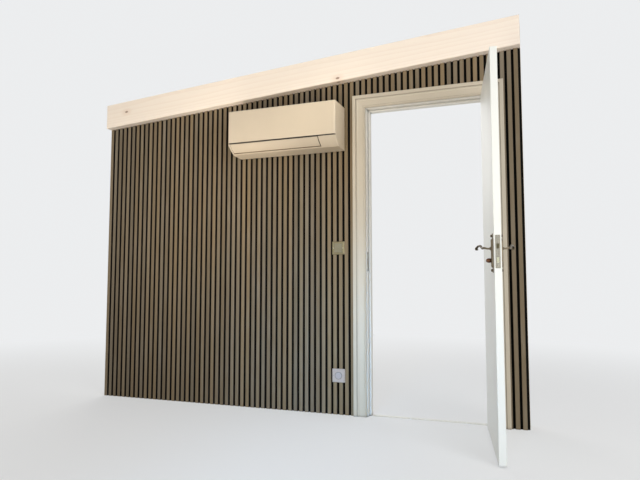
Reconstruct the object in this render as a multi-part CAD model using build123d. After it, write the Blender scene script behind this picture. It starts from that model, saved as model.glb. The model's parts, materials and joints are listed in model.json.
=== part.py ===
from build123d import *
import math
import os

# The end wall of a holiday lodge's living room: a stud partition under a sloping rafter,
# faced with vertical slats on black felt, with a painted doorway, its open door and the
# fittings screwed to the wall. X runs along the wall from the low end to the high end,
# Y points from the living room into the shower room and Z is up. The origin is on the
# floor, in the middle of the underside of the long sole plate.

# Slat panelling
slat_pitch = 40.0
slat_width = 27.0
slat_thickness = 12.0
felt_thickness = 9.0
slat_count_left = 51
slat_count_right = 4
shortest_slat_width = 4.0

# How far a cutting shape runs past what it cuts
overcut = 1.0

# Timber frame and the boards on it
stud_depth = 75.0
stud_width = 38.0
stud_spacing = 600.0
plate_height = 38.0
board_thickness = 12.5

# Roof line and the rafter that caps the panelling
slats_over_trim = 107.0
roof_pitch = 4.26
rafter_width = 75.0
rafter_depth = 180.0
rafter_arris = 4.0

# Door leaf and the clearances round it
leaf_width = 762.0
leaf_height = 1981.0
leaf_thickness = 35.0
leaf_gap = 5.0
leaf_floor_gap = 8.0
leaf_arris = 1.5
open_angle = 98.0

# Door lining, stop and trim
lining_thickness = 32.0
lining_packing = 2.0
stop_thickness = 12.0
stop_width = 32.0
stop_clearance = 3.0
trim_width = 86.0
trim_thickness = 18.0
trim_margin = 6.0
trim_lip_width = 4.0
trim_lip_thickness = 7.0
trim_inner_bead = 10.0
trim_outer_bead = 12.0
trim_bead_height = 3.0
trim_field_thickness = 9.0
trim_field_rise = 2.0
trim_groove_width = 4.0
trim_groove_depth = 5.0
trim_band = 22.0
trim_edge_round = 2.0
threshold_height = 5.0
threshold_width = 38.0

# Butt hinges
hinge_from_bottom = 200.0
hinge_from_top = 150.0
hinge_height = 100.0
hinge_flap_depth = 34.0
hinge_flap_thickness = 2.4
hinge_flap_recess = 1.3
hinge_knuckle_radius = 5.5
hinge_knuckle_count = 5
hinge_pin_radius = 2.5
hinge_pin_clearance = 0.08
hinge_knuckle_gap = 0.4
hinge_proud = 6.0

# Bathroom mortice lock
spindle_height = 1011.0
lock_centres = 57.0
lock_backset = 57.0
forend_height = 158.0
forend_width = 24.0
forend_thickness = 3.0
forend_above_spindle = 62.0
case_height = 130.0
case_depth = 72.0
case_thickness = 14.0
bolt_clearance = 0.4
latch_above_spindle = 9.0
latch_height = 22.0
latch_thickness = 11.0
latch_throw = 10.0
latch_length = 40.0
latch_nose = 2.0
dead_height = 26.0
dead_thickness = 9.0
dead_throw = 13.0
dead_length = 40.0
spindle_size = 8.0
turn_spindle_size = 5.0
spindle_reach = 1.0
strike_thickness = 1.5
strike_width = 26.0
strike_margin = 14.0
strike_pocket_depth = 20.0
strike_pocket_clearance = 3.0

# Scroll levers on their long backplates. A lever's route runs from the door's face: how far
# along the door towards the hinges, how far out from the backplate, how far above the spindle.
plate_length = 190.0
plate_width = 42.0
plate_thickness = 5.0
plate_base_thickness = 3.0
plate_field_inset = 3.0
plate_above_spindle = 73.0
plate_lobe_radius = 12.0
plate_shoulder = 22.0
lever_boss_radius = 9.0
lever_boss_length = 7.0
lever_route = (
    (0.0, 0.0, 0.0),
    (0.0, 30.0, 0.0),
    (34.0, 44.0, 17.0),
    (72.0, 54.0, 16.0),
    (104.0, 66.0, -3.0),
)
lever_bends = (13.0, 26.0, 30.0)
lever_neck_size = 8.5
lever_grip_height = 14.0
lever_grip_thickness = 8.0
lever_neck_share = 0.26
lever_grip_share = 0.5
lever_section_count = 8
lever_scroll_radius = 7.5
lever_scroll_width = 12.0
lever_clearance = 0.3
turn_knob_width = 34.0
turn_knob_thickness = 11.0
turn_knob_depth = 14.0
turn_neck_radius = 7.0
turn_neck_length = 12.0
turn_slot_proud = 3.0
turn_slot_width = 2.0
turn_slot_depth = 1.5

# Air conditioner
ac_width = 770.0
ac_height = 289.0
ac_depth = 205.0
ac_headroom = 119.0
ac_right_gap = 57.0
ac_plate_thickness = 7.0
ac_plate_margin = 30.0
ac_cover_thickness = 14.0
ac_cover_gap = 2.0
ac_corner = 13.0
ac_chin_edge = 6.0
ac_slot_height = 71.0
ac_slot_gap = 8.0
ac_ledge_gap = 1.0
ac_nose_flat = 12.0
ac_belly_depth = 125.0
ac_belly_rise = 5.0
ac_nose_setback = 1.0
ac_chin_bulge = 5.0
ac_flap_length = 640.0
ac_flap_inset = 14.0
ac_flap_lip = 12.0
ac_flap_thickness = 3.5
ac_flap_bead_radius = 3.5
ac_flap_gap = 2.0
ac_flap_pin_length = 6.0
ac_pin_radius = 2.0
ac_pin_clearance = 0.08
ac_outlet_depth = 60.0
ac_vane_count = 9
ac_vane_thickness = 2.0
ac_vane_clearance = 10.0
ac_ear_inset = 60.0
ac_ear_width = 8.0
ac_ear_radius = 3.4
ac_ear_side_gap = 0.5
ac_ear_pin_radius = 1.5
ac_ear_pin_length = 5.0
ac_grille_bar = 3.0
ac_grille_pitch = 22.0
ac_grille_depth = 8.0
ac_grille_margin = 34.0
ac_filter_side_margin = 40.0
ac_filter_end_margin = 34.0
ac_filter_between = 20.0
ac_filter_recess = 4.0
ac_filter_thickness = 3.0
ac_filter_rim = 8.0
ac_filter_field_depth = 1.5
ac_filter_clearance = 0.3

# Light switch and socket outlet
outlet_size = 86.0
outlet_thickness = 9.0
outlet_edge_thickness = 6.0
outlet_bevel = 5.0
outlet_corner = 4.0
outlet_from_trim = 103.0
switch_height = 1078.0
socket_height = 250.0
socket_disc_radius = 22.0
socket_disc_proud = 1.0
rocker_width = 52.0
rocker_height = 56.0
rocker_tilt = 4.0
rocker_clearance = 1.0
rocker_proud = 2.0
rocker_body_depth = 4.0
rocker_pocket_depth = 7.0
rocker_pivot_depth = 2.0
rocker_pin_radius = 1.2
rocker_pin_length = 3.0
rocker_pin_clearance = 0.08

# Places worked out from the sizes above
tangent = math.tan(math.radians(roof_pitch))
left_length = slat_count_left * slat_pitch
right_length = slat_count_right * slat_pitch
wall_start = -left_length / 2
opening_width = leaf_width + 2 * leaf_gap
opening_height = leaf_floor_gap + leaf_height + leaf_gap
rough_width = opening_width + 2 * (lining_thickness + lining_packing)
rough_height = opening_height + lining_thickness + lining_packing
rough_left = wall_start + left_length
rough_right = rough_left + rough_width
wall_end = rough_right + right_length
jamb_left = rough_left + lining_packing + lining_thickness
jamb_right = jamb_left + opening_width
door_middle = (jamb_left + jamb_right) / 2

stud_front = -stud_depth / 2
stud_back = stud_depth / 2
board_front = stud_front - board_thickness
board_back = stud_back + board_thickness
felt_front = board_front - felt_thickness
slat_front = felt_front - slat_thickness
rafter_front = board_front - rafter_width

pivot_x = jamb_right - leaf_gap / 2
pivot_y = slat_front - hinge_proud
leaf_left = jamb_left + leaf_gap
leaf_right = jamb_right - leaf_gap
leaf_front = slat_front
leaf_back = leaf_front + leaf_thickness
leaf_middle = (leaf_front + leaf_back) / 2
leaf_top = leaf_floor_gap + leaf_height
stop_front = leaf_back + stop_clearance
spindle_x = leaf_left + lock_backset
turn_z = spindle_height - lock_centres
forend_top = spindle_height + forend_above_spindle
forend_bottom = forend_top - forend_height
latch_z = spindle_height + latch_above_spindle
trim_outer_left = jamb_left - trim_margin - trim_width
trim_top = opening_height + trim_margin + trim_width
panelling_height = trim_top + slats_over_trim - (trim_outer_left - wall_start) * tangent
hinge_low = leaf_floor_gap + hinge_from_bottom + hinge_height / 2
hinge_high = leaf_top - hinge_from_top - hinge_height / 2
hinge_heights = (hinge_low, (hinge_low + hinge_high) / 2, hinge_high)
bolts = (
    (latch_z, latch_height, latch_thickness),
    (turn_z, dead_height, dead_thickness),
)


def panelling_top(x):
    """Height of the underside of the rafter at x."""
    return panelling_height + (x - wall_start) * tangent


def roof_top(x):
    """Height of the rafter's upper edge, where the roof boards lie."""
    return panelling_top(x) + rafter_depth / math.cos(math.radians(roof_pitch))


def block(x0, x1, y0, y1, z0, z1):
    """A square-edged block between six planes."""
    size = Box(x1 - x0, y1 - y0, z1 - z0, align=(Align.MIN, Align.MIN, Align.MIN))
    return Pos(x0, y0, z0) * size


def prism_xz(points, y0, y1):
    """A shape drawn in the wall's own plane and given thickness from y0 to y1."""
    face = make_face(Plane.XZ * Polyline(*points, close=True))
    return Pos(0, y0, 0) * extrude(face, amount=y1 - y0, dir=(0, 1, 0))


def prism_yz(points, x0, x1):
    """A side profile drawn in Y and Z and run along the wall from x0 to x1."""
    face = make_face(Plane.YZ * Polyline(*points, close=True))
    return Pos(x0, 0, 0) * extrude(face, amount=x1 - x0, dir=(1, 0, 0))


def rod_y(x, z, y0, y1, radius):
    """A round bar across the wall's thickness."""
    return Pos(x, y0, z) * Rot(-90, 0, 0) * Cylinder(
        radius, y1 - y0, align=(Align.CENTER, Align.CENTER, Align.MIN)
    )


def rod_x(y, z, x0, x1, radius):
    """A round bar along the wall."""
    return Pos(x0, y, z) * Rot(0, 90, 0) * Cylinder(
        radius, x1 - x0, align=(Align.CENTER, Align.CENTER, Align.MIN)
    )


def rod_z(x, y, z0, z1, radius):
    """An upright round bar."""
    return Pos(x, y, z0) * Cylinder(
        radius, z1 - z0, align=(Align.CENTER, Align.CENTER, Align.MIN)
    )


def sheet(x0, x1, y0, y1, z0, top):
    """An upright sheet whose top edge follows the roof's slope."""
    return prism_xz([(x0, z0), (x1, z0), (x1, top(x1)), (x0, top(x0))], y0, y1)


def opened(shape):
    """A piece of the door, drawn closed, turned about the hinge pins to where it stands."""
    return Pos(pivot_x, pivot_y, 0) * Rot(0, 0, open_angle) * Pos(-pivot_x, -pivot_y, 0) * shape


def top_plate_under(x):
    """Height of the top plate's underside at x."""
    return roof_top(x) - plate_height


def make_frame():
    """Sole plates, studs, door header and sloping top plate."""
    nodes = {}
    nodes["sole_plates"] = Compound(
        children=[
            block(x0, x1, stud_front, stud_back, 0, plate_height)
            for x0, x1 in ((wall_start, rough_left), (rough_right, wall_end))
        ]
    )
    nodes["top_plate"] = prism_xz(
        [
            (wall_start, top_plate_under(wall_start)),
            (wall_end, top_plate_under(wall_end)),
            (wall_end, roof_top(wall_end)),
            (wall_start, roof_top(wall_start)),
        ],
        stud_front,
        stud_back,
    )
    nodes["door_header"] = block(
        rough_left, rough_right, stud_front, stud_back, rough_height, rough_height + plate_height
    )
    places = [rough_left - stud_width, rough_right, wall_end - stud_width]
    x = wall_start
    while x < rough_left - stud_spacing / 2:
        places.append(x)
        x += stud_spacing
    studs = [
        sheet(x, x + stud_width, stud_front, stud_back, plate_height, top_plate_under)
        for x in places
    ]
    short_stud = door_middle - stud_width / 2
    studs.append(
        sheet(
            short_stud,
            short_stud + stud_width,
            stud_front,
            stud_back,
            rough_height + plate_height,
            top_plate_under,
        )
    )
    nodes["studs"] = Compound(children=studs)
    return nodes


def make_boards():
    """Lining boards on both faces of the frame, split beside and over the doorway."""
    nodes = {}
    for name, y0, y1 in (
        ("room_board", board_front, stud_front),
        ("back_board", stud_back, board_back),
    ):
        nodes[name + "_left"] = sheet(wall_start, rough_left, y0, y1, 0, roof_top)
        nodes[name + "_over_door"] = sheet(
            rough_left, rough_right, y0, y1, rough_height, roof_top
        )
        nodes[name + "_right"] = sheet(rough_right, wall_end, y0, y1, 0, roof_top)
    return nodes


def slats_between(x0, x1, z0):
    """The slats of one stretch of wall, each cut to the slope and to the stretch's ends."""
    slats = []
    first = math.floor((x0 - wall_start) / slat_pitch)
    last = math.ceil((x1 - wall_start) / slat_pitch)
    for i in range(first, last):
        left = max(x0, wall_start + i * slat_pitch)
        right = min(x1, wall_start + i * slat_pitch + slat_width)
        if right - left >= shortest_slat_width:
            slats.append(sheet(left, right, slat_front, felt_front, z0, panelling_top))
    return Compound(children=slats)


def make_panelling():
    """Black felt sheets with the slats glued to them."""
    nodes = {}
    for name, x0, x1, z0 in (
        ("left", wall_start, rough_left, 0),
        ("over_door", rough_left, rough_right, rough_height),
        ("right", rough_right, wall_end, 0),
    ):
        nodes["felt_" + name] = sheet(x0, x1, felt_front, board_front, z0, panelling_top)
        nodes["slats_" + name] = slats_between(x0, x1, z0)
    return nodes


def make_rafter():
    """The rafter against the wall, with its two lower arrises planed off."""
    a = rafter_arris
    y0, y1 = rafter_front, board_front
    z0 = panelling_top(wall_start)
    z1 = roof_top(wall_start)
    face = make_face(
        Plane.YZ * Polyline((y0 + a, z0), (y1, z0), (y1, z1), (y0, z1), (y0, z0 + a), close=True)
    )
    run = wall_end - wall_start
    slope_run = run / math.cos(math.radians(roof_pitch))
    rafter = extrude(face, amount=slope_run, dir=(1, 0, tangent))
    return {"rafter": Pos(wall_start, 0, 0) * rafter}


def make_lining():
    """Door lining, stop and threshold bar. The latch jamb is mortised for the bolts."""
    nodes = {}
    nodes["lining_head"] = block(
        jamb_left - lining_thickness,
        jamb_right + lining_thickness,
        slat_front,
        board_back,
        opening_height,
        opening_height + lining_thickness,
    )
    latch_jamb = block(
        jamb_left - lining_thickness, jamb_left, slat_front, board_back, 0, opening_height
    )
    latch_jamb -= strike_blank()
    for z, height, thickness in bolts:
        latch_jamb -= bolt_hole(z, height, thickness, jamb_left - strike_pocket_depth, jamb_left)
    nodes["jamb_latch_side"] = latch_jamb
    hinge_jamb = block(
        jamb_right, jamb_right + lining_thickness, slat_front, board_back, 0, opening_height
    )
    for z in hinge_heights:
        hinge_jamb -= block(
            jamb_right,
            jamb_right + hinge_flap_recess,
            slat_front,
            pivot_y + hinge_proud + hinge_flap_depth,
            z - hinge_height / 2,
            z + hinge_height / 2,
        )
    nodes["jamb_hinge_side"] = hinge_jamb
    stop_back = stop_front + stop_width
    frame = block(jamb_left, jamb_right, stop_front, stop_back, 0, opening_height)
    frame -= block(
        jamb_left + stop_thickness,
        jamb_right - stop_thickness,
        stop_front - overcut,
        stop_back + overcut,
        -overcut,
        opening_height - stop_thickness,
    )
    nodes["door_stop"] = frame
    y = stop_front + threshold_width / 2
    nodes["threshold_bar"] = prism_yz(
        [
            (y - threshold_width / 2, 0),
            (y + threshold_width / 2, 0),
            (y + threshold_width / 3, threshold_height),
            (y - threshold_width / 3, threshold_height),
        ],
        jamb_left + stop_thickness,
        jamb_right - stop_thickness,
    )
    return nodes


def strike_blank():
    """The striking plate's own outline, let into the latch jamb."""
    half = strike_width / 2
    reach = strike_pocket_clearance + strike_margin
    return block(
        jamb_left - strike_thickness,
        jamb_left,
        leaf_middle - half,
        leaf_middle + half,
        turn_z - dead_height / 2 - reach,
        latch_z + latch_height / 2 + reach,
    )


def bolt_hole(z, height, thickness, x0, x1):
    """Room for a bolt in the jamb or the striking plate."""
    c = strike_pocket_clearance
    return block(
        x0,
        x1,
        leaf_middle - thickness / 2 - c,
        leaf_middle + thickness / 2 + c,
        z - height / 2 - c,
        z + height / 2 + c,
    )


def make_strike():
    """The striking plate with one hole for each bolt."""
    plate = strike_blank()
    for z, height, thickness in bolts:
        front = jamb_left - strike_thickness - overcut
        plate -= bolt_hole(z, height, thickness, front, jamb_left + overcut)
    return {"strike_plate": plate}


def trim_profile():
    """Section of the architrave: u from its inner edge outwards, v out from the wall."""
    w = trim_width
    round_in = trim_edge_round * (1 - math.sqrt(0.5))
    low = trim_field_thickness
    high = low + trim_field_rise
    bead_in = trim_lip_width
    field_in = bead_in + trim_inner_bead
    band_in = w - trim_band
    groove_in = band_in - trim_groove_width
    field_out = groove_in - trim_outer_bead
    groove_floor = trim_thickness - trim_groove_depth
    edges = [
        Line((0, 0), (w, 0)),
        Line((w, 0), (w, trim_thickness - trim_edge_round)),
        ThreePointArc(
            (w, trim_thickness - trim_edge_round),
            (w - round_in, trim_thickness - round_in),
            (w - trim_edge_round, trim_thickness),
        ),
        Line((w - trim_edge_round, trim_thickness), (band_in, trim_thickness)),
        Line((band_in, trim_thickness), (band_in, groove_floor)),
        Line((band_in, groove_floor), (groove_in, groove_floor)),
        ThreePointArc(
            (groove_in, groove_floor),
            ((groove_in + field_out) / 2, high + trim_bead_height),
            (field_out, high),
        ),
        Line((field_out, high), (field_in, low)),
        ThreePointArc(
            (field_in, low),
            ((field_in + bead_in) / 2, low + trim_bead_height),
            (bead_in, trim_lip_thickness),
        ),
        Line((bead_in, trim_lip_thickness), (0, trim_lip_thickness)),
        Line((0, trim_lip_thickness), (0, 0)),
    ]
    return make_face(edges)


def make_trim():
    """Architraves with mitred corners on both faces of the wall."""
    x_in = jamb_left - trim_margin
    x_out = trim_outer_left
    z_in = opening_height + trim_margin
    z_out = trim_top
    margin = trim_thickness + overcut
    leg_plane = Plane(origin=(x_in, slat_front, 0), x_dir=(-1, 0, 0), z_dir=(0, 0, 1))
    leg = extrude(leg_plane * trim_profile(), amount=z_out)
    leg &= prism_xz(
        [(x_out, 0), (x_in, 0), (x_in, z_in), (x_out, z_out)],
        slat_front - margin,
        slat_front,
    )
    mirrored_in = 2 * door_middle - x_in
    mirrored_out = 2 * door_middle - x_out
    head_plane = Plane(origin=(x_out, slat_front, z_in), x_dir=(0, 0, 1), z_dir=(1, 0, 0))
    head = extrude(head_plane * trim_profile(), amount=mirrored_out - x_out)
    head &= prism_xz(
        [(x_out, z_out), (x_in, z_in), (mirrored_in, z_in), (mirrored_out, z_out)],
        slat_front - margin,
        slat_front,
    )
    across = Plane(origin=(door_middle, 0, 0), z_dir=(1, 0, 0))
    through = Plane(origin=(0, (slat_front + board_back) / 2, 0), z_dir=(0, 1, 0))
    nodes = {
        "architrave_left": leg,
        "architrave_head": head,
        "architrave_right": mirror(leg, about=across),
    }
    for name in list(nodes):
        nodes["back_" + name] = mirror(nodes[name], about=through)
    return nodes


def knuckle_bands(z):
    """Lowest and highest point of each knuckle of one hinge, from the bottom up."""
    step = hinge_height / hinge_knuckle_count
    foot = z - hinge_height / 2
    gap = hinge_knuckle_gap / 2
    return [
        (foot + i * step + gap, foot + (i + 1) * step - gap) for i in range(hinge_knuckle_count)
    ]


def hinge_flap(z, side, bands):
    """One leaf of a butt hinge with its knuckles. side is 1 on the jamb and -1 on the door."""
    inner = leaf_gap / 2 - hinge_flap_thickness + hinge_flap_recess
    x0, x1 = sorted((pivot_x + side * inner, pivot_x + side * (inner + hinge_flap_thickness)))
    y_clear = pivot_y + hinge_knuckle_radius + hinge_knuckle_gap
    y_end = pivot_y + hinge_proud + hinge_flap_depth
    shape = block(x0, x1, y_clear, y_end, z - hinge_height / 2, z + hinge_height / 2)
    for low, high in bands:
        shape += block(x0, x1, pivot_y, y_clear, low, high)
        shape += rod_z(pivot_x, pivot_y, low, high, hinge_knuckle_radius)
    return shape


def make_hinges():
    """Three butt hinges. The jamb's knuckles hold the pin, which runs through the door's."""
    frame_side = []
    door_side = []
    bore = hinge_pin_radius + hinge_pin_clearance
    root = 2 * hinge_knuckle_gap
    for z in hinge_heights:
        bands = knuckle_bands(z)
        fixed = hinge_flap(z, 1, bands[::2])
        for low, high in bands[1::2]:
            fixed += rod_z(pivot_x, pivot_y, low - root, high + root, hinge_pin_radius)
        swinging = hinge_flap(z, -1, bands[1::2])
        swinging -= rod_z(pivot_x, pivot_y, z - hinge_height, z + hinge_height, bore)
        frame_side.append(fixed)
        door_side.append(opened(swinging))
    return {
        "hinge_flaps_on_jamb": Compound(children=frame_side),
        "hinge_flaps_on_door": Compound(children=door_side),
    }


def lock_blank():
    """The lock's case and forend in one, which is also the shape of its mortice."""
    middle = (forend_top + forend_bottom) / 2
    case = block(
        leaf_left + forend_thickness,
        leaf_left + forend_thickness + case_depth,
        leaf_middle - case_thickness / 2,
        leaf_middle + case_thickness / 2,
        middle - case_height / 2,
        middle + case_height / 2,
    )
    forend = block(
        leaf_left,
        leaf_left + forend_thickness,
        leaf_middle - forend_width / 2,
        leaf_middle + forend_width / 2,
        forend_bottom,
        forend_top,
    )
    return case + forend


def spindle_bores(y0, y1):
    """The two round holes that the lever's boss and the turn's neck run in."""
    lever_bore = rod_y(spindle_x, spindle_height, y0, y1, lever_boss_radius + lever_clearance)
    turn_bore = rod_y(spindle_x, turn_z, y0, y1, turn_neck_radius + lever_clearance)
    return [lever_bore, turn_bore]


def make_leaf():
    """The door leaf, mortised for the lock and let in for the hinges."""
    leaf = block(leaf_left, leaf_right, leaf_front, leaf_back, leaf_floor_gap, leaf_top)
    leaf = chamfer(leaf.edges().filter_by(Axis.Z), leaf_arris)
    leaf -= lock_blank()
    leaf -= spindle_bores(leaf_front - overcut, leaf_back + overcut)
    for z in hinge_heights:
        leaf -= block(
            leaf_right - hinge_flap_recess,
            leaf_right + overcut,
            leaf_front - overcut,
            pivot_y + hinge_proud + hinge_flap_depth,
            z - hinge_height / 2,
            z + hinge_height / 2,
        )
    return {"door_leaf": opened(leaf)}


def bolt_bar(z, height, thickness, length, throw):
    """A bolt from inside the case to its reach past the door's edge."""
    return block(
        leaf_left - throw,
        leaf_left - throw + length,
        leaf_middle - thickness / 2,
        leaf_middle + thickness / 2,
        z - height / 2,
        z + height / 2,
    )


def make_lock():
    """Lock case with its bolts: the sprung latch stands out and the dead bolt is drawn in."""
    c = bolt_clearance
    case = lock_blank()
    lengths = (latch_length + latch_throw, dead_length + dead_throw)
    for (z, height, thickness), room in zip(bolts, lengths):
        case -= block(
            leaf_left - overcut,
            leaf_left + room + c,
            leaf_middle - thickness / 2 - c,
            leaf_middle + thickness / 2 + c,
            z - height / 2 - c,
            z + height / 2 + c,
        )
    case -= spindle_bores(leaf_front, leaf_back)
    latch = bolt_bar(latch_z, latch_height, latch_thickness, latch_length, latch_throw)
    tip = leaf_left - latch_throw
    front = leaf_middle - latch_thickness / 2
    back = leaf_middle + latch_thickness / 2
    bevel = make_face(
        Polyline(
            (tip - overcut, back + overcut),
            (leaf_left, back + overcut),
            (leaf_left, back),
            (tip, front + latch_nose),
            (tip - overcut, front + latch_nose),
            close=True,
        )
    )
    latch -= Pos(0, 0, latch_z - latch_height) * extrude(
        bevel, amount=2 * latch_height, dir=(0, 0, 1)
    )
    dead = bolt_bar(turn_z, dead_height, dead_thickness, dead_length, 0)
    return {
        "lock_case": opened(case),
        "latch_bolt": opened(latch),
        "dead_bolt": opened(dead),
    }


def door_face(side):
    """Where the leaf's face lies in Y. side is -1 in the room and 1 behind."""
    return leaf_front if side < 0 else leaf_back


def backplate(side):
    """A long backplate with a round lobe at each end and a raised field between them."""
    middle = spindle_height + plate_above_spindle - plate_length / 2
    base = Plane(
        origin=(spindle_x, door_face(side), middle), x_dir=(1, 0, 0), z_dir=(0, side, 0)
    )
    body_length = plate_length - 2 * plate_shoulder
    outline = Rectangle(plate_width, body_length)
    for end in (-1, 1):
        outline += Pos(0, end * (plate_length / 2 - plate_lobe_radius)) * Circle(plate_lobe_radius)
    inset = 2 * plate_field_inset
    plate = extrude(base * outline, amount=plate_base_thickness)
    plate += extrude(
        base * Rectangle(plate_width - inset, body_length - inset), amount=plate_thickness
    )
    plate -= spindle_bores(leaf_front - 2 * plate_thickness, leaf_back + 2 * plate_thickness)
    return plate


def eight_sided(height, thickness):
    """A bar's section with its four corners taken off, upright along x."""
    corner = min(height, thickness) * (1 - math.sqrt(0.5))
    return chamfer(Rectangle(height, thickness).vertices(), corner)


def lever_arm(side):
    """A scroll lever: a thin neck, then a grip that arches along the door to a rolled tip."""
    face_y = door_face(side) + side * plate_thickness
    corners = [
        (spindle_x + along, face_y + side * out, spindle_height + up)
        for along, out, up in lever_route
    ]
    path = FilletPolyline(*corners, radius=lever_bends)
    sections = []
    for i in range(lever_section_count + 1):
        t = i / lever_section_count
        swell = (t - lever_neck_share) / (lever_grip_share - lever_neck_share)
        swell = min(max(swell, 0), 1)
        height = lever_neck_size + swell * (lever_grip_height - lever_neck_size)
        thickness = lever_neck_size + swell * (lever_grip_thickness - lever_neck_size)
        place = Plane(origin=path @ t, x_dir=(0, 0, 1), z_dir=path % t)
        sections.append(place * eight_sided(height, thickness))
    arm = loft(sections, ruled=True)
    end = path % 1
    sideways = Vector(end.Y, -end.X, 0).normalized()
    roll = Plane(origin=(path @ 1) - sideways * (lever_scroll_width / 2), z_dir=sideways)
    arm += extrude(roll * Circle(lever_scroll_radius), amount=lever_scroll_width)
    y0, y1 = sorted((door_face(side), face_y + side * lever_boss_length))
    return arm + rod_y(spindle_x, spindle_height, y0, y1, lever_boss_radius)


def turn_end(side):
    """One end of the privacy turn: an oval knob behind, a coin slot in the room."""
    reach = turn_neck_length if side > 0 else turn_slot_proud
    far_y = door_face(side) + side * (plate_thickness + reach)
    y0, y1 = sorted((door_face(side), far_y))
    neck = rod_y(spindle_x, turn_z, y0, y1, turn_neck_radius)
    if side > 0:
        knob_plane = Plane(origin=(spindle_x, far_y, turn_z), x_dir=(1, 0, 0), z_dir=(0, 1, 0))
        outline = Ellipse(turn_knob_width / 2, turn_knob_thickness / 2)
        return neck + extrude(knob_plane * outline, amount=turn_knob_depth)
    return neck - block(
        spindle_x - turn_neck_radius,
        spindle_x + turn_neck_radius,
        far_y - overcut,
        far_y + turn_slot_depth,
        turn_z - turn_slot_width / 2,
        turn_z + turn_slot_width / 2,
    )


def square_rod(z, size):
    """The square bar that turns with the pieces on both faces of the door."""
    half = size / 2
    front = leaf_front - spindle_reach
    back = leaf_back + spindle_reach
    return block(spindle_x - half, spindle_x + half, front, back, z - half, z + half)


def make_handles():
    """Backplates, the pair of levers on one spindle, and the privacy turn."""
    levers = lever_arm(-1) + lever_arm(1) + square_rod(spindle_height, spindle_size)
    turn = turn_end(-1) + turn_end(1) + square_rod(turn_z, turn_spindle_size)
    return {
        "handle_plate_room": opened(backplate(-1)),
        "handle_plate_back": opened(backplate(1)),
        "lever_handles": opened(levers),
        "privacy_turn": opened(turn),
    }


# Places of the air conditioner, which hangs under the rafter beside the door's trim
ac_right = trim_outer_left - ac_right_gap
ac_left = ac_right - ac_width
ac_back = slat_front - ac_plate_thickness
ac_front = slat_front - ac_depth
ac_body_front = ac_front + ac_cover_thickness + ac_cover_gap
ac_top = panelling_top(ac_left) - ac_headroom
ac_bottom = ac_top - ac_height
ac_slot = ac_bottom + ac_slot_height
flap_left = ac_left + ac_flap_inset
flap_right = flap_left + ac_flap_length
cover_pivot_y = ac_front + ac_cover_thickness / 2
cover_pivot_z = ac_top - ac_cover_thickness / 2

# The chin is the curved underside of the unit's nose, an arc from its lower end to its upper end
chin_low = Vector(0, slat_front - ac_belly_depth, ac_bottom + ac_belly_rise)
chin_high = Vector(0, ac_front + ac_nose_setback, ac_slot - ac_slot_gap)
chin_chord = chin_high - chin_low
chin_out = Vector(0, -chin_chord.Z, chin_chord.Y).normalized()
chin_radius = (chin_chord.length ** 2 / 4 + ac_chin_bulge ** 2) / (2 * ac_chin_bulge)
chin_centre = (chin_low + chin_high) * 0.5 - chin_out * (chin_radius - ac_chin_bulge)
chin_length = 2 * chin_radius * math.asin(chin_chord.length / 2 / chin_radius)


def chin_at(along, depth):
    """A point on the chin, so far along it from its lower end and so deep under its surface."""
    turn = math.degrees((along - chin_length / 2) / chin_radius)
    spoke = chin_out.rotate(Axis.X, -turn) * (chin_radius - depth)
    return chin_centre + spoke


def chin_band(start, end, shallow, deep):
    """The slice of the chin between two places along it and two depths, drawn in Y and Z."""
    middle = (start + end) / 2
    edges = [
        ThreePointArc(chin_at(start, shallow), chin_at(middle, shallow), chin_at(end, shallow)),
        Line(chin_at(end, shallow), chin_at(end, deep)),
        ThreePointArc(chin_at(end, deep), chin_at(middle, deep), chin_at(start, deep)),
        Line(chin_at(start, deep), chin_at(start, shallow)),
    ]
    return make_face(edges)


def run_x(face, x0, x1):
    """A face drawn in Y and Z at x = 0, run along the wall from x0 to x1."""
    return Pos(x0, 0, 0) * extrude(face, amount=x1 - x0, dir=(1, 0, 0))


mouth_start = ac_flap_lip
mouth_end = chin_length - ac_flap_gap / 2
flap_start = mouth_start + ac_flap_gap
flap_end = mouth_end - ac_flap_gap
flap_bead = ac_flap_bead_radius
flap_pivot = chin_at(flap_start + flap_bead, flap_bead)
outlet_ceiling = chin_at(mouth_end, ac_flap_thickness + ac_flap_gap).Z
vane_front = ac_flap_thickness + ac_vane_clearance


def rounded_plan(y0, y1, z0, z1):
    """A block as wide as the unit, with its two upright front corners rounded."""
    plan = block(ac_left, ac_right, y0, y1, z0, z1)
    return fillet(plan.edges().filter_by(Axis.Z).group_by(Axis.Y)[0], ac_corner)


def filter_bays(inset):
    """Left and right ends of the two filter bays in the housing's front, drawn in by an inset."""
    middle = (ac_left + ac_right) / 2
    half = ac_filter_between / 2
    return (
        (ac_left + ac_filter_side_margin + inset, middle - half - inset),
        (middle + half + inset, ac_right - ac_filter_side_margin - inset),
    )


def filter_block(x0, x1, y0, y1, inset):
    """A block as tall as the filter bays, drawn in by an inset."""
    low = ac_slot + ac_filter_end_margin + inset
    high = ac_top - ac_filter_end_margin - inset
    return block(x0, x1, y0, y1, low, high)


def outlet_run(depth, x0, x1):
    """The space of the outlet between two places, from a depth under the chin inwards."""
    mouth = run_x(chin_band(mouth_start, mouth_end, depth, ac_outlet_depth), x0, x1)
    return mouth & block(x0, x1, ac_front - overcut, ac_back, ac_bottom, outlet_ceiling)


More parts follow.
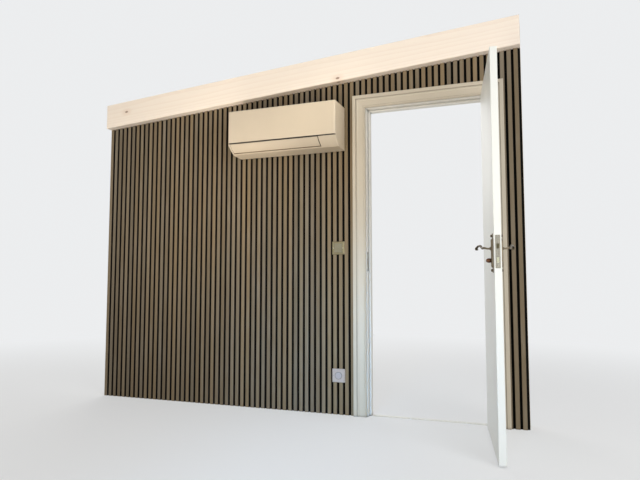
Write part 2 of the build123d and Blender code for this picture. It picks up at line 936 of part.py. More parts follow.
def make_ac_housing():
    """The moulded housing, with its outlet, intake well, filter bays and the cover's ears."""
    ledge_front = chin_high.Y + ac_nose_flat
    ledge_top = ac_slot - ac_ledge_gap
    outline = [
        Line((0, ac_back, ac_bottom), chin_low),
        ThreePointArc(chin_low, chin_at(chin_length / 2, 0), chin_high),
        Line(chin_high, (0, ledge_front, chin_high.Z)),
        Line((0, ledge_front, chin_high.Z), (0, ledge_front, ledge_top)),
        Line((0, ledge_front, ledge_top), (0, ac_body_front, ledge_top)),
        Line((0, ac_body_front, ledge_top), (0, ac_body_front, ac_top)),
        Line((0, ac_body_front, ac_top), (0, ac_back, ac_top)),
        Line((0, ac_back, ac_top), (0, ac_back, ac_bottom)),
    ]
    housing = run_x(make_face(outline), ac_left, ac_right)
    ends = housing.edges().filter_by(GeomType.CIRCLE)
    housing = fillet(ends, ac_chin_edge)
    housing &= rounded_plan(ac_front, ac_back, ac_bottom - overcut, ac_top + overcut)
    housing -= outlet_run(-overcut, flap_left, flap_right)
    pin_reach = ac_flap_pin_length + ac_flap_gap
    housing -= rod_x(
        flap_pivot.Y,
        flap_pivot.Z,
        flap_left - pin_reach,
        flap_right + pin_reach,
        ac_pin_radius + ac_pin_clearance,
    )
    housing -= block(
        ac_left + ac_grille_margin,
        ac_right - ac_grille_margin,
        ac_body_front + ac_grille_margin,
        ac_back - ac_grille_margin,
        ac_top - ac_grille_depth,
        ac_top + overcut,
    )
    for x0, x1 in filter_bays(0):
        housing -= filter_block(x0, x1, ac_body_front - overcut, ac_body_front + ac_filter_recess, 0)
    for x in cover_ears():
        housing += block(
            x - ac_ear_width / 2,
            x + ac_ear_width / 2,
            cover_pivot_y,
            ac_body_front,
            cover_pivot_z - ac_ear_radius,
            cover_pivot_z + ac_ear_radius,
        )
        housing += rod_x(
            cover_pivot_y,
            cover_pivot_z,
            x - ac_ear_width / 2,
            x + ac_ear_width / 2,
            ac_ear_radius,
        )
        housing += rod_x(
            cover_pivot_y,
            cover_pivot_z,
            x - ac_ear_width / 2 - ac_ear_pin_length,
            x + ac_ear_width / 2 + ac_ear_pin_length,
            ac_ear_pin_radius,
        )
    return housing


def make_ac_filters():
    """Two dust filters that stand in the housing's front, each a thin field in a raised rim."""
    filters = []
    y1 = ac_body_front + ac_filter_recess
    y0 = y1 - ac_filter_thickness
    inner = ac_filter_clearance + ac_filter_rim
    outer_bays = filter_bays(ac_filter_clearance)
    for (x0, x1), (field0, field1) in zip(outer_bays, filter_bays(inner)):
        frame = filter_block(x0, x1, y0, y1, ac_filter_clearance)
        frame -= filter_block(field0, field1, y0 - overcut, y0 + ac_filter_field_depth, inner)
        filters.append(frame)
    return Compound(children=filters)


def cover_ears():
    """Where along the unit the two ears stand that the cover swings on."""
    return (ac_left + ac_ear_inset, ac_right - ac_ear_inset)


def make_ac_cover():
    """The flat front cover. Its rounded top edge is notched at the back for the housing's ears."""
    bead = ac_cover_thickness / 2
    cover = block(
        ac_left, ac_right, ac_front, ac_front + ac_cover_thickness, ac_slot, cover_pivot_z
    )
    cover += rod_x(cover_pivot_y, cover_pivot_z, ac_left, ac_right, bead)
    cover &= rounded_plan(ac_front, ac_front + 2 * ac_corner, ac_slot, ac_top)
    for x in cover_ears():
        notch = ac_ear_width / 2 + ac_ear_side_gap
        cover -= block(
            x - notch,
            x + notch,
            cover_pivot_y - ac_ear_radius - ac_ear_side_gap,
            ac_body_front,
            cover_pivot_z - bead - ac_ear_side_gap,
            ac_top + overcut,
        )
        hole = notch + ac_ear_pin_length + ac_ear_side_gap
        cover -= rod_x(
            cover_pivot_y, cover_pivot_z, x - hole, x + hole, ac_ear_pin_radius + ac_pin_clearance
        )
    return cover


def make_ac_flap():
    """The louvre: a curved flap with a round bead and two end pins along its lower edge."""
    left = flap_left + ac_flap_gap
    right = flap_right - ac_flap_gap
    band = chin_band(flap_start + flap_bead, flap_end, 0, ac_flap_thickness)
    flap = run_x(band, left, right)
    flap += rod_x(flap_pivot.Y, flap_pivot.Z, left, right, flap_bead)
    reach = ac_flap_pin_length
    flap += rod_x(flap_pivot.Y, flap_pivot.Z, left - reach, right + reach, ac_pin_radius)
    return flap


def make_ac_vanes():
    """Upright vanes across the outlet, set deep enough for the flap to close over them."""
    vanes = []
    step = ac_flap_length / (ac_vane_count + 1)
    half = ac_vane_thickness / 2
    for i in range(1, ac_vane_count + 1):
        x = flap_left + i * step
        vanes.append(outlet_run(vane_front, x - half, x + half))
    return Compound(children=vanes)


def make_ac_grille():
    """The intake grille on top: fine bars from front to back on three long ribs."""
    y0 = ac_body_front + ac_grille_margin
    y1 = ac_back - ac_grille_margin
    x0 = ac_left + ac_grille_margin
    x1 = ac_right - ac_grille_margin
    z0 = ac_top - ac_grille_depth
    half = ac_grille_bar / 2
    ribs = [
        block(x0, x1, y - half, y + half, z0, ac_top)
        for y in (y0 + half, (y0 + y1) / 2, y1 - half)
    ]
    count = round((x1 - x0) / ac_grille_pitch)
    step = (x1 - x0 - ac_grille_bar) / count
    bars = []
    for i in range(count + 1):
        x = x0 + i * step
        bars.append(block(x, x + ac_grille_bar, y0, y1, z0, ac_top))
    return ribs[0] + ribs[1:] + bars


def make_ac_nodes():
    """Indoor unit: wall plate, housing, filters, front cover, louvre, vanes and grille."""
    plate = block(
        ac_left + ac_plate_margin,
        ac_right - ac_plate_margin,
        ac_back,
        slat_front,
        ac_bottom + ac_plate_margin,
        ac_top - ac_plate_margin,
    )
    return {
        "ac_wall_plate": plate,
        "ac_housing": make_ac_housing(),
        "ac_filters": make_ac_filters(),
        "ac_front_cover": make_ac_cover(),
        "ac_louvre": make_ac_flap(),
        "ac_vanes": make_ac_vanes(),
        "ac_intake_grille": make_ac_grille(),
    }


outlet_x = trim_outer_left - outlet_from_trim
outlet_face = slat_front - outlet_thickness


def outlet_plate(z):
    """A square cover plate with a broad bevel round its edge, screwed over the slats."""
    back = Plane(origin=(outlet_x, slat_front, z), x_dir=(1, 0, 0), z_dir=(0, -1, 0))
    inner = outlet_size - 2 * outlet_bevel
    rim = RectangleRounded(outlet_size, outlet_size, outlet_corner)
    field = RectangleRounded(inner, inner, outlet_corner / 2)
    plate = extrude(back * rim, amount=outlet_edge_thickness)
    bevel = [back.offset(outlet_edge_thickness) * rim, back.offset(outlet_thickness) * field]
    return plate + loft(bevel, ruled=True)


def make_socket():
    """The socket's cover plate, with the low round disc on its face."""
    front = outlet_face - socket_disc_proud
    return outlet_plate(socket_height) + rod_y(
        outlet_x, socket_height, front, outlet_face, socket_disc_radius
    )


def make_electrics():
    """Light switch with its rocker, and the socket outlet near the floor."""
    x = outlet_x
    w = rocker_width / 2
    h = rocker_height / 2
    c = rocker_clearance
    face = outlet_face
    pivot_depth = face + rocker_pivot_depth
    reach = w + rocker_pin_length
    switch = outlet_plate(switch_height)
    switch -= block(
        x - w - c,
        x + w + c,
        face - overcut,
        face + rocker_pocket_depth,
        switch_height - h - c,
        switch_height + h + c,
    )
    switch -= rod_x(
        pivot_depth,
        switch_height,
        x - reach - c,
        x + reach + c,
        rocker_pin_radius + rocker_pin_clearance,
    )
    dip = h * math.tan(math.radians(rocker_tilt))
    rocker = prism_yz(
        [
            (face + rocker_body_depth, -h),
            (face - rocker_proud, -h),
            (face - rocker_proud + dip, 0),
            (face - rocker_proud, h),
            (face + rocker_body_depth, h),
        ],
        x - w,
        x + w,
    )
    rocker += rod_x(pivot_depth, 0, x - reach, x + reach, rocker_pin_radius)
    rocker = Pos(0, pivot_depth, 0) * Rot(-rocker_tilt, 0, 0) * Pos(0, -pivot_depth, 0) * rocker
    return {
        "switch_plate": switch,
        "switch_rocker": Pos(0, 0, switch_height) * rocker,
        "socket_plate": make_socket(),
    }


def make_all():
    """Every node's name with its shape."""
    nodes = {}
    for made in (
        make_frame(),
        make_boards(),
        make_panelling(),
        make_rafter(),
        make_lining(),
        make_strike(),
        make_trim(),
        make_hinges(),
        make_leaf(),
        make_lock(),
        make_handles(),
        make_ac_nodes(),
        make_electrics(),
    ):
        nodes.update(made)
    return nodes


os.makedirs("parts", exist_ok=True)
for name, shape in make_all().items():
    export_step(shape, "parts/" + name + ".step")
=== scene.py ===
# %% [markdown]
# # The slatted end wall of a holiday lodge
# The wall, its doorway and everything screwed to it arrive as plain solids, already in place
# and already jointed. This lesson dresses them: it gives each surface its finish, grows the
# pieces that repeat, such as slats, boards and screws, with Geometry Nodes, and models the few
# forms that are too fine for the solids. Nothing here moves or resizes a solid.

# %% Load the solids
import json
import math
import bmesh
import bpy
from mathutils import Matrix, Vector


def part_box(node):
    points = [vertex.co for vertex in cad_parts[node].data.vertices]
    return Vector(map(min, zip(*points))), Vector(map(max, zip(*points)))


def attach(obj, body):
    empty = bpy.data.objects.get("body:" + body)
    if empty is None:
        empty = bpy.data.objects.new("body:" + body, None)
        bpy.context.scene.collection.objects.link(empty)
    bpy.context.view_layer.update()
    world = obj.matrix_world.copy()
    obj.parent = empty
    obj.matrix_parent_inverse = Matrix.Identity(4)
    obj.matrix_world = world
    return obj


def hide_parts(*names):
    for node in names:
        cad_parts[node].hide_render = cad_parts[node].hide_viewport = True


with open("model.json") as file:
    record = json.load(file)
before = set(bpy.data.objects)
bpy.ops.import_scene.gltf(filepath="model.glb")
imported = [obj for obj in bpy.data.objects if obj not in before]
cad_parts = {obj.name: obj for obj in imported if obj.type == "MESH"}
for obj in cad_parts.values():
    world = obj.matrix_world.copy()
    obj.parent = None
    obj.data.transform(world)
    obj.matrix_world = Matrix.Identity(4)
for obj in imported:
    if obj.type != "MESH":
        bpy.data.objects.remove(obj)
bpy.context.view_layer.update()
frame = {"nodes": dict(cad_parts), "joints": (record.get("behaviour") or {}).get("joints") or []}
nodes = frame["nodes"]
joints = {joint["name"]: joint for joint in frame["joints"]}
print("solids:", len(nodes), "joints:", len(joints))

# %% [markdown]
# ## Where the camera stands
# The photograph was taken from low down in the room, a little to the right of the open door.
# The camera stands on that same spot. It is only turned towards the wall and given a longer
# lens, so the whole piece fills the frame, and every line keeps the photograph's perspective.

# %% Camera
camera_place = (2.064, -3.663, 0.840)
camera_turn = math.radians(20.4)
camera_tilt = math.radians(4.4)
sensor_width = 36.0
frame_width = 640
focal_pixels = 575


def add_object(name, data):
    """A new object, linked into the scene."""
    thing = bpy.data.objects.new(name, data)
    bpy.context.scene.collection.objects.link(thing)
    return thing


camera_data = bpy.data.cameras.new("room_camera")
camera_data.sensor_fit = "HORIZONTAL"
camera_data.sensor_width = sensor_width
camera_data.lens = focal_pixels / frame_width * sensor_width
camera = add_object("room_camera", camera_data)
camera.location = camera_place
camera.rotation_euler = (math.pi / 2 + camera_tilt, 0, camera_turn)
bpy.context.scene.camera = camera
print("lens:", round(camera_data.lens, 1), "mm")

# %% [markdown]
# ## A short way to wire nodes
# Shaders and Geometry Nodes are both trees of nodes with sockets. Each link or value takes two
# or three lines of Python, which soon hides what a tree is for. A small class that feeds a
# socket with either a number or another node's output keeps the trees below readable.


# %% Node wiring
class Wiring:
    """Short calls for one node tree. A new node is handed back as its outputs."""

    def __init__(self, tree):
        self.tree = tree

    def feed(self, socket, value):
        """A socket takes another node's output, or a plain value."""
        if isinstance(value, bpy.types.NodeSocket):
            self.tree.links.new(value, socket)
        else:
            socket.default_value = value

    def fill(self, kind, *values, inputs=None, **settings):
        """A node whose sockets are fed in their own order, or by name.

        Its settings come first, because they decide which sockets it has."""
        node = self.tree.nodes.new(kind)
        for name, value in settings.items():
            setattr(node, name, value)
        for socket, value in zip(node.inputs, values):
            self.feed(socket, value)
        for name, value in (inputs or {}).items():
            fitting = [s for s in node.inputs if s.enabled and s.name == name]
            self.feed(fitting[0], value)
        return node.outputs

    def add(self, kind, inputs=None, **settings):
        """A node whose sockets are all fed by name."""
        return self.fill(kind, inputs=inputs, **settings)

    def geo(self, kind, inputs=None, **settings):
        """The first output of a new Geometry Nodes node."""
        return self.add("GeometryNode" + kind, inputs, **settings)[0]

    def math(self, operation, *values):
        return self.fill("ShaderNodeMath", *values, operation=operation)[0]

    def times(self, first, second):
        return self.math("MULTIPLY", first, second)

    def vector(self, operation, *values):
        result = "Value" if operation in ("LENGTH", "DOT_PRODUCT") else "Vector"
        return self.fill("ShaderNodeVectorMath", *values, operation=operation)[result]

    def stretch(self, vector, amounts):
        return self.vector("MULTIPLY", vector, amounts)

    def triple(self, x, y, z):
        return self.fill("ShaderNodeCombineXYZ", x, y, z)[0]

    def parts(self, vector):
        return self.fill("ShaderNodeSeparateXYZ", vector)

    def remap(self, value, low, high, to_low=0.0, to_high=1.0, smooth=False):
        inputs = {
            "Value": value, "From Min": low, "From Max": high, "To Min": to_low, "To Max": to_high,
        }
        kind = "SMOOTHSTEP" if smooth else "LINEAR"
        return self.add("ShaderNodeMapRange", inputs, interpolation_type=kind)[0]

    def noise(self, vector, scale, detail=2.0, roughness=0.5, output="Fac"):
        inputs = {"Vector": vector, "Scale": scale, "Detail": detail, "Roughness": roughness}
        return self.add("ShaderNodeTexNoise", inputs)[output]

    def blend(self, share, first, second):
        """The first colour where the share is 0, the second where it is 1."""
        inputs = {"Factor": share, "A": first, "B": second}
        return self.add("ShaderNodeMix", inputs, data_type="RGBA")[2]

    def tint(self, base, colour, mask, strength):
        """The base with another colour over it where the mask says, as strongly as told."""
        return self.blend(self.times(mask, strength), base, colour)


# %% [markdown]
# ## Effects that several finishes share
# Timber grain shows on the framing, the rafter and the slats, and moulded or painted surfaces
# all have slightly rounded edges. Each such effect is a node group, built once, with named
# inputs, so that a finish only chooses its sizes. A function wires each group and returns what
# the group puts out, and one helper makes the sockets to match.


# %% Making a node group
input_kinds = {
    float: "Float",
    int: "Int",
    tuple: "Vector",
    bpy.types.Material: "Material",
    type(None): "Geometry",
}
output_kinds = {"VALUE": "Float", "VECTOR": "Vector", "GEOMETRY": "Geometry"}


def new_group(name, inputs, wire, kind="ShaderNodeTree"):
    """A node group with named inputs, wired by a function that returns its outputs."""
    tree = bpy.data.node_groups.new(name, kind)
    for label, value in inputs.items():
        socket_type = "NodeSocket" + input_kinds[type(value)]
        socket = tree.interface.new_socket(name=label, in_out="INPUT", socket_type=socket_type)
        if value is not None:
            socket.default_value = value
    w = Wiring(tree)
    made = wire(w, tree.nodes.new("NodeGroupInput").outputs)
    for label, value in made.items():
        socket_type = "NodeSocket" + output_kinds[value.type]
        tree.interface.new_socket(name=label, in_out="OUTPUT", socket_type=socket_type)
    end = tree.nodes.new("NodeGroupOutput").inputs
    for label, value in made.items():
        w.feed(end[label], value)
    return tree


# %% Wood and paint effects
def wire_wood_figure(w, start):
    """Growth rings cut lengthways, and the fine fibres between them. Grain runs along X."""
    wander = start["Wander"]
    along = w.stretch(start["Vector"], w.triple(start["Stretch"], 1.0, 1.0))
    drift = w.vector("SUBTRACT", w.noise(along, 5.0, 3.0, 0.5, "Color"), (0.5, 0.5, 0.5))
    drift = w.stretch(drift, w.triple(wander, wander, wander))
    moved = w.vector("ADD", w.vector("ADD", along, drift), start["Pith"])
    from_pith = w.vector("LENGTH", w.stretch(moved, (0.0, 1.0, 1.0)))
    turn = w.math("FRACT", w.math("DIVIDE", from_pith, start["Ring Width"]))
    late_wood = w.remap(turn, 0.9, 1.0, 1.0, 0.0, smooth=True)
    rings = w.times(w.math("POWER", turn, 2.5), late_wood)
    streaks = w.stretch(start["Vector"], (0.02, 1.0, 1.0))
    fibres = w.noise(streaks, start["Fibre Scale"], 2.0, 0.6)
    height = w.math("ADD", w.times(rings, -0.4), fibres)
    return {"Rings": rings, "Fibres": fibres, "Height": height}


def wire_knots(w, start):
    """Round knots scattered over a board's faces, with the dark ring round each one."""
    spacing, size = start["Spacing"], start["Size"]
    x, y, z = w.parts(start["Vector"])
    flat = w.triple(w.times(x, 0.55), w.math("ADD", y, z), 0.0)
    cells = w.add(
        "ShaderNodeTexVoronoi",
        {"Vector": flat, "Scale": w.math("DIVIDE", 1.0, spacing)},
        voronoi_dimensions="2D",
    )
    distance = w.times(cells["Distance"], spacing)
    chosen = w.math("LESS_THAN", w.parts(cells["Color"])[0], start["Share"])
    heart = w.remap(distance, size, w.times(size, 0.6), smooth=True)
    halo = w.remap(distance, w.times(size, 4.0), size, smooth=True)
    return {"Heart": w.times(heart, chosen), "Halo": w.times(halo, chosen)}


def wire_brush_marks(w, start):
    """The faint parallel ridges that a brush leaves in satin paint, along X."""
    ridges = w.noise(w.stretch(start["Vector"], (0.03, 1.0, 1.0)), 700.0, 3.0, 0.6)
    peel = w.noise(start["Vector"], 350.0, 1.0)
    height = w.math("ADD", ridges, w.times(peel, 0.5))
    return {"Height": height, "Tone": w.noise(start["Vector"], 2.2, 3.0, 0.6)}


# %% Edge, crevice and metal effects
def wire_soft_edges(w, start):
    """Rounds a sharp edge in the shading, and says where the edges are."""
    flat = 0.995
    bent = 0.8
    rounded = w.add("ShaderNodeBevel", {"Radius": start["Radius"]}, samples=6)[0]
    true = w.add("ShaderNodeNewGeometry")["True Normal"]
    likeness = w.vector("DOT_PRODUCT", rounded, true)
    return {"Normal": rounded, "Edges": w.remap(likeness, flat, bent)}


def wire_crevices(w, start):
    """Says where a surface lies in a groove, a gap or an inner corner, where shade is painted."""
    open_surface = 0.9
    deep_inside = 0.2
    reach = {"Distance": start["Reach"]}
    open_share = w.add("ShaderNodeAmbientOcclusion", reach, samples=8)["AO"]
    return {"Shade": w.remap(open_share, open_surface, deep_inside)}


def wire_brushed(w, start):
    """Fine straight scratches along X, as satin metal has."""
    scratches = w.stretch(start["Vector"], (0.01, 1.0, 1.0))
    lines = w.noise(scratches, start["Scale"], 2.0, 0.7)
    return {"Lines": lines, "Cloud": w.noise(start["Vector"], 60.0, 3.0, 0.6)}


# %% Shader groups
nowhere = (0.0, 0.0, 0.0)
wood_sizes = {
    "Vector": nowhere,
    "Ring Width": 0.012,
    "Stretch": 0.05,
    "Wander": 0.02,
    "Pith": (0.0, 0.05, -0.08),
    "Fibre Scale": 900.0,
}
knot_sizes = {"Vector": nowhere, "Spacing": 0.3, "Size": 0.012, "Share": 0.3}
wood_figure = new_group("wood_figure", wood_sizes, wire_wood_figure)
knots = new_group("knots", knot_sizes, wire_knots)
brush_marks = new_group("brush_marks", {"Vector": nowhere}, wire_brush_marks)
soft_edges = new_group("soft_edges", {"Radius": 0.001}, wire_soft_edges)
crevices = new_group("crevices", {"Reach": 0.01}, wire_crevices)
brushed = new_group("brushed", {"Vector": nowhere, "Scale": 2500.0}, wire_brushed)
print("shader groups:", [group.name for group in bpy.data.node_groups])

# %% [markdown]
# ## Starting a finish
# Every finish is one Principled shader. Numbers that are the same all over go straight onto
# its sockets, and only what changes over the surface is wired. Grain and brush strokes run
# along X in the groups above, so a finish for an upright piece first turns its coordinates.

# %% Material helpers
along_x = (0.0, 0.0, 0.0)
along_z = (0.0, math.radians(90), 0.0)


def socket_name(word):
    """The socket that a Python word stands for: ring_width is Ring Width."""
    return word.replace("_", " ").title().replace("Ior", "IOR")


def shade(colour, factor):
    """The same colour, lighter or darker."""
    return tuple(min(part * factor, 1.0) for part in colour[:3]) + (1.0,)


class Finish(Wiring):
    """A material with its wiring, its shader and its coordinates."""

    def __init__(self, name, roughness, grain=along_x, **plain):
        self.material = bpy.data.materials.new(name)
        self.material.use_nodes = True
        super().__init__(self.material.node_tree)
        self.shader = self.tree.nodes["Principled BSDF"]
        self.roughness(roughness)
        for word, value in plain.items():
            self.feed(self.shader.inputs[socket_name(word)], value)
        place = self.add("ShaderNodeTexCoord")["Object"]
        self.place = self.add("ShaderNodeMapping", {"Vector": place, "Rotation": grain})[0]

    def colour(self, value):
        self.feed(self.shader.inputs["Base Color"], value)

    def roughness(self, value):
        self.feed(self.shader.inputs["Roughness"], value)

    def effect(self, group, **sizes):
        """One of the shader groups, with sizes of its own."""
        inputs = {socket_name(word): value for word, value in sizes.items()}
        return self.add("ShaderNodeGroup", inputs, node_tree=group)

    def shadowed(self, value, reach, dark):
        """Painted shade: the colour turns dark in gaps and inner corners, as far as a real reach.
        """
        return self.blend(self.effect(crevices, reach=reach)["Shade"], value, dark)

    def relief(self, height, depth, edge_radius=0.0):
        """A bump of a real depth in metres. Over edges of a real radius it returns their mask."""
        bump = {"Height": height, "Distance": depth}
        edges = None
        if edge_radius:
            soft = self.effect(soft_edges, radius=edge_radius)
            bump["Normal"] = soft["Normal"]
            edges = soft["Edges"]
        self.feed(self.shader.inputs["Normal"], self.add("ShaderNodeBump", bump)[0])
        return edges


# %% [markdown]
# ## Timber finishes
# The studs and plates are sawn softwood, seen only at the wall's two ends and on top. The
# rafter is the same wood under a thin whitewash: the rings and knots show through as a warm
# pink cast. The slats have black sides and a face of smoked oak veneer with straight, fine
# grain. Each was cut from another sheet, so each gets its own tone and its own stretch of
# grain, which it reads from attributes that the slats' own tree leaves on them.


# %% Sawn and whitewashed timber
def make_framing(name, grain):
    wood = (0.58, 0.40, 0.22, 1.0)
    heart = (0.12, 0.05, 0.02, 1.0)
    f = Finish(name, 0.75, grain)
    figure = f.effect(wood_figure, vector=f.place, ring_width=0.006, pith=(0.0, 0.03, -0.05))
    spots = f.effect(knots, vector=f.place, spacing=0.25, size=0.008, share=0.4)
    base = f.blend(figure["Rings"], shade(wood, 1.1), shade(wood, 0.62))
    base = f.tint(base, shade(wood, 0.7), figure["Fibres"], 0.35)
    base = f.tint(base, shade(wood, 0.6), spots["Halo"], 0.5)
    f.colour(f.blend(spots["Heart"], base, heart))
    f.relief(figure["Height"], depth=0.0004)
    return f.material


def make_whitewash(slant):
    wash = (0.92, 0.81, 0.69, 1.0)
    pink = (0.72, 0.52, 0.38, 1.0)
    heart = (0.22, 0.10, 0.05, 1.0)
    pith = (0.0, 0.06, -2.3)
    f = Finish("whitewashed_pine", 0.5, (0.0, slant, 0.0))
    figure = f.effect(wood_figure, vector=f.place, ring_width=0.018, pith=pith, wander=0.11)
    spots = f.effect(knots, vector=f.place, spacing=0.42, size=0.009, share=0.45)
    base = f.tint(wash, pink, figure["Rings"], 0.26)
    base = f.tint(base, pink, figure["Fibres"], 0.16)
    cloud = f.remap(f.noise(f.place, 3.0, 3.0), 0.35, 0.7, 0.0, 0.35)
    base = f.blend(cloud, base, shade(wash, 0.93))
    base = f.tint(base, pink, spots["Halo"], 0.35)
    f.colour(f.tint(base, heart, spots["Heart"], 0.8))
    f.relief(figure["Height"], depth=0.0003, edge_radius=0.002)
    return f.material


# %% Slat veneer
def make_slat_veneer():
    oak = (0.232, 0.166, 0.092, 1.0)
    grey_oak = (0.196, 0.162, 0.116, 1.0)
    silver = (0.255, 0.22, 0.17, 1.0)
    black = (0.006, 0.0045, 0.003, 1.0)
    f = Finish("smoked_oak_veneer", 0.6, along_z, specular_ior_level=0.2)
    tone = f.add("ShaderNodeAttribute", attribute_name="slat_tone")["Fac"]
    shift = f.add("ShaderNodeAttribute", attribute_name="slat_shift")["Vector"]
    side = f.add("ShaderNodeAttribute", attribute_name="slat_side")["Fac"]
    place = f.vector("ADD", f.place, shift)
    figure = f.effect(
        wood_figure,
        vector=place,
        ring_width=0.0045,
        stretch=0.012,
        pith=(0.0, 0.4, 0.3),
        fibre_scale=1400.0,
    )
    hue = f.parts(shift)[1]
    dark_sheet = f.blend(hue, shade(oak, 0.82), shade(grey_oak, 0.82))
    pale_sheet = f.blend(hue, shade(oak, 1.2), shade(grey_oak, 1.2))
    base = f.blend(tone, dark_sheet, pale_sheet)
    base = f.tint(base, shade(oak, 0.45), figure["Rings"], 0.55)
    base = f.tint(base, shade(oak, 0.6), figure["Fibres"], 0.5)
    sheen = f.remap(f.noise(f.stretch(place, (0.15, 1.0, 1.0)), 20.0), 0.5, 0.8)
    f.colour(f.blend(side, f.tint(base, silver, sheen, 0.4), black))
    f.relief(figure["Height"], depth=0.00012)
    return f.material


# %% [markdown]
# ## Paint, felt and plastic
# Satin paint is nearly smooth, with brush marks that only show at a glancing light, and it is
# slightly thicker at the edges, which therefore look rounded. Felt scatters light from loose
# fibres, which the sheen lobe stands for. Moulded plastic has a fine sparked texture. Paint,
# plastic and metal also turn dark in gaps and inner corners: that is painted shade. Two plastic
# pieces also show a mark too thin for a piece of its own: painted shade in the gaps round the
# louvre, and a disc of another colour with a painted shadow line round it on the socket. A small
# function says where the mark lies, and the finish lays it over its own colour.


# %% Paint and felt
def make_paint(name, colour, grain):
    f = Finish(name, 0.38, grain)
    marks = f.effect(brush_marks, vector=f.place)
    base = f.blend(f.remap(marks["Tone"], 0.3, 0.7), shade(colour, 0.965), colour)
    f.colour(f.shadowed(base, reach=0.020, dark=shade(colour, 0.16)))
    f.roughness(f.remap(marks["Height"], 0.4, 1.1, 0.36, 0.42))
    f.relief(marks["Height"], depth=0.00001, edge_radius=0.0015)
    return f.material


def make_felt():
    f = Finish(
        "black_felt",
        0.95,
        specular_ior_level=0.05,
        sheen_weight=0.15,
        sheen_roughness=0.6,
        sheen_tint=(0.10, 0.09, 0.08, 1.0),
    )
    fuzz = f.noise(f.place, 1200.0, 4.0, 0.7)
    tufts = f.noise(f.place, 180.0)
    loose = f.times(f.remap(fuzz, 0.35, 0.7), tufts)
    f.colour(f.blend(loose, (0.003, 0.0025, 0.0015, 1.0), (0.010, 0.0085, 0.006, 1.0)))
    f.relief(f.math("ADD", fuzz, tufts), depth=0.0006)
    return f.material


# %% Moulded plastic
def make_plastic(name, colour, roughness, edge_radius=0.001, mark=None):
    """mark is a function that says where another colour lies, and which colour that is."""
    f = Finish(name, roughness)
    grain_depth = 0.00002
    grain = f.noise(f.place, 3500.0, 1.0)
    cloud = f.noise(f.place, 4.0, 3.0, 0.6)
    base = f.blend(f.remap(cloud, 0.35, 0.65), shade(colour, 0.965), colour)
    if mark:
        where, other = mark(f)
        base = f.blend(where, base, other)
    f.colour(f.shadowed(base, reach=0.012, dark=shade(colour, 0.06)))
    f.roughness(f.remap(grain, 0.3, 0.7, roughness - 0.05, roughness + 0.05))
    f.relief(grain, grain_depth, edge_radius)
    return f.material


def louvre_gap_shade(f):
    """Painted shade in the louvre's gaps: dark at its right end, browner along its lower edge."""
    end_gap_shade = 0.0035
    low_gap_shade = 1.6 * end_gap_shade
    near = 0.001
    dark = (0.07, 0.055, 0.04, 1.0)
    brown = (0.19, 0.12, 0.065, 1.0)
    points = [v.co for v in nodes["ac_louvre"].data.vertices]
    lowest = min(points, key=lambda point: point.z)
    highest = max(point.z for point in points)
    right_end = max(point.x for point in points if point.z > highest - near)
    x, y, z = f.parts(f.place)
    from_low = f.vector("SUBTRACT", f.triple(0.0, y, z), (0.0, *lowest.yz))
    below = f.math("LESS_THAN", f.vector("LENGTH", from_low), low_gap_shade)
    right = f.math("GREATER_THAN", x, right_end - end_gap_shade)
    return f.math("MAXIMUM", right, below), f.blend(right, brown, dark)


def socket_face(f):
    """The insert of the socket: a disc of a slightly warmer plastic with a shadow line round it."""
    radius = 0.022
    line = 0.0022
    # The insert's colour is darkened by painted shade, as the socket's is; the ring is a painted
    # shadow.
    insert = (0.36, 0.322, 0.31, 1.0)
    shadow = (0.18, 0.165, 0.16, 1.0)
    low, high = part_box("socket_plate")
    middle = (low + high) / 2
    x, y, z = f.parts(f.place)
    from_middle = f.vector("SUBTRACT", f.triple(x, 0.0, z), (middle.x, 0.0, middle.z))
    distance = f.vector("LENGTH", from_middle)
    inside = f.math("LESS_THAN", distance, radius + line)
    ring = f.math("GREATER_THAN", distance, radius - line / 2)
    return inside, f.blend(ring, insert, shadow)


# %% Filter net
def make_filter_mesh():
    """The woven nylon net of the dust filters."""
    thread = 0.0022
    f = Finish("filter_net", 0.6)
    x, y, z = f.parts(f.place)
    warp, weft = (
        f.math("ABSOLUTE", f.math("SINE", f.times(part, math.pi / thread))) for part in (x, z)
    )
    net = f.math("MINIMUM", warp, weft)
    f.colour(f.blend(net, (0.20, 0.21, 0.22, 1.0), (0.06, 0.065, 0.07, 1.0)))
    f.relief(net, depth=-0.0004, edge_radius=0.001)
    return f.material


# %% [markdown]
# ## Metals
# The lock's face is nickel, its two bolts are brass and the hinges are satin steel, all finely
# brushed. The handles are a darker antique bronze that hands have rubbed bright on every edge,
# so the edge mask mixes in a paler metal. The light switch has a brushed face the colour of
# champagne.


# %% Metal
def make_satin_metal(name, colour, roughness, grain=along_x):
    f = Finish(name, roughness, grain, metallic=1.0)
    marks = f.effect(brushed, vector=f.place)
    lines = marks["Lines"]
    edges = f.relief(lines, depth=0.00002, edge_radius=0.0006)
    base = f.blend(f.remap(marks["Cloud"], 0.3, 0.7), shade(colour, 0.85), colour)
    base = f.blend(f.remap(lines, 0.4, 0.8, 0.0, 0.3), base, shade(colour, 1.25))
    # Painted highlight: every edge is made lighter, a bright rim where light would catch it.
    base = f.tint(base, shade(colour, 1.8), edges, 0.8)
    f.colour(f.shadowed(base, reach=0.006, dark=shade(colour, 0.15)))
    f.roughness(f.remap(lines, 0.3, 0.7, roughness - 0.08, roughness + 0.1))
    return f.material


def make_bronze(name, dark, bright, roughness):
    f = Finish(name, roughness, along_z, metallic=1.0)
    cloud = f.effect(brushed, vector=f.place, scale=1200.0)["Cloud"]
    edges = f.relief(cloud, depth=0.00004, edge_radius=0.0012)
    base = f.blend(f.remap(cloud, 0.35, 0.65, 0.0, 0.5), dark, shade(dark, 1.7))
    f.colour(f.tint(base, bright, edges, 0.8))
    f.roughness(f.remap(cloud, 0.3, 0.7, roughness - 0.08, roughness + 0.12))
    return f.material
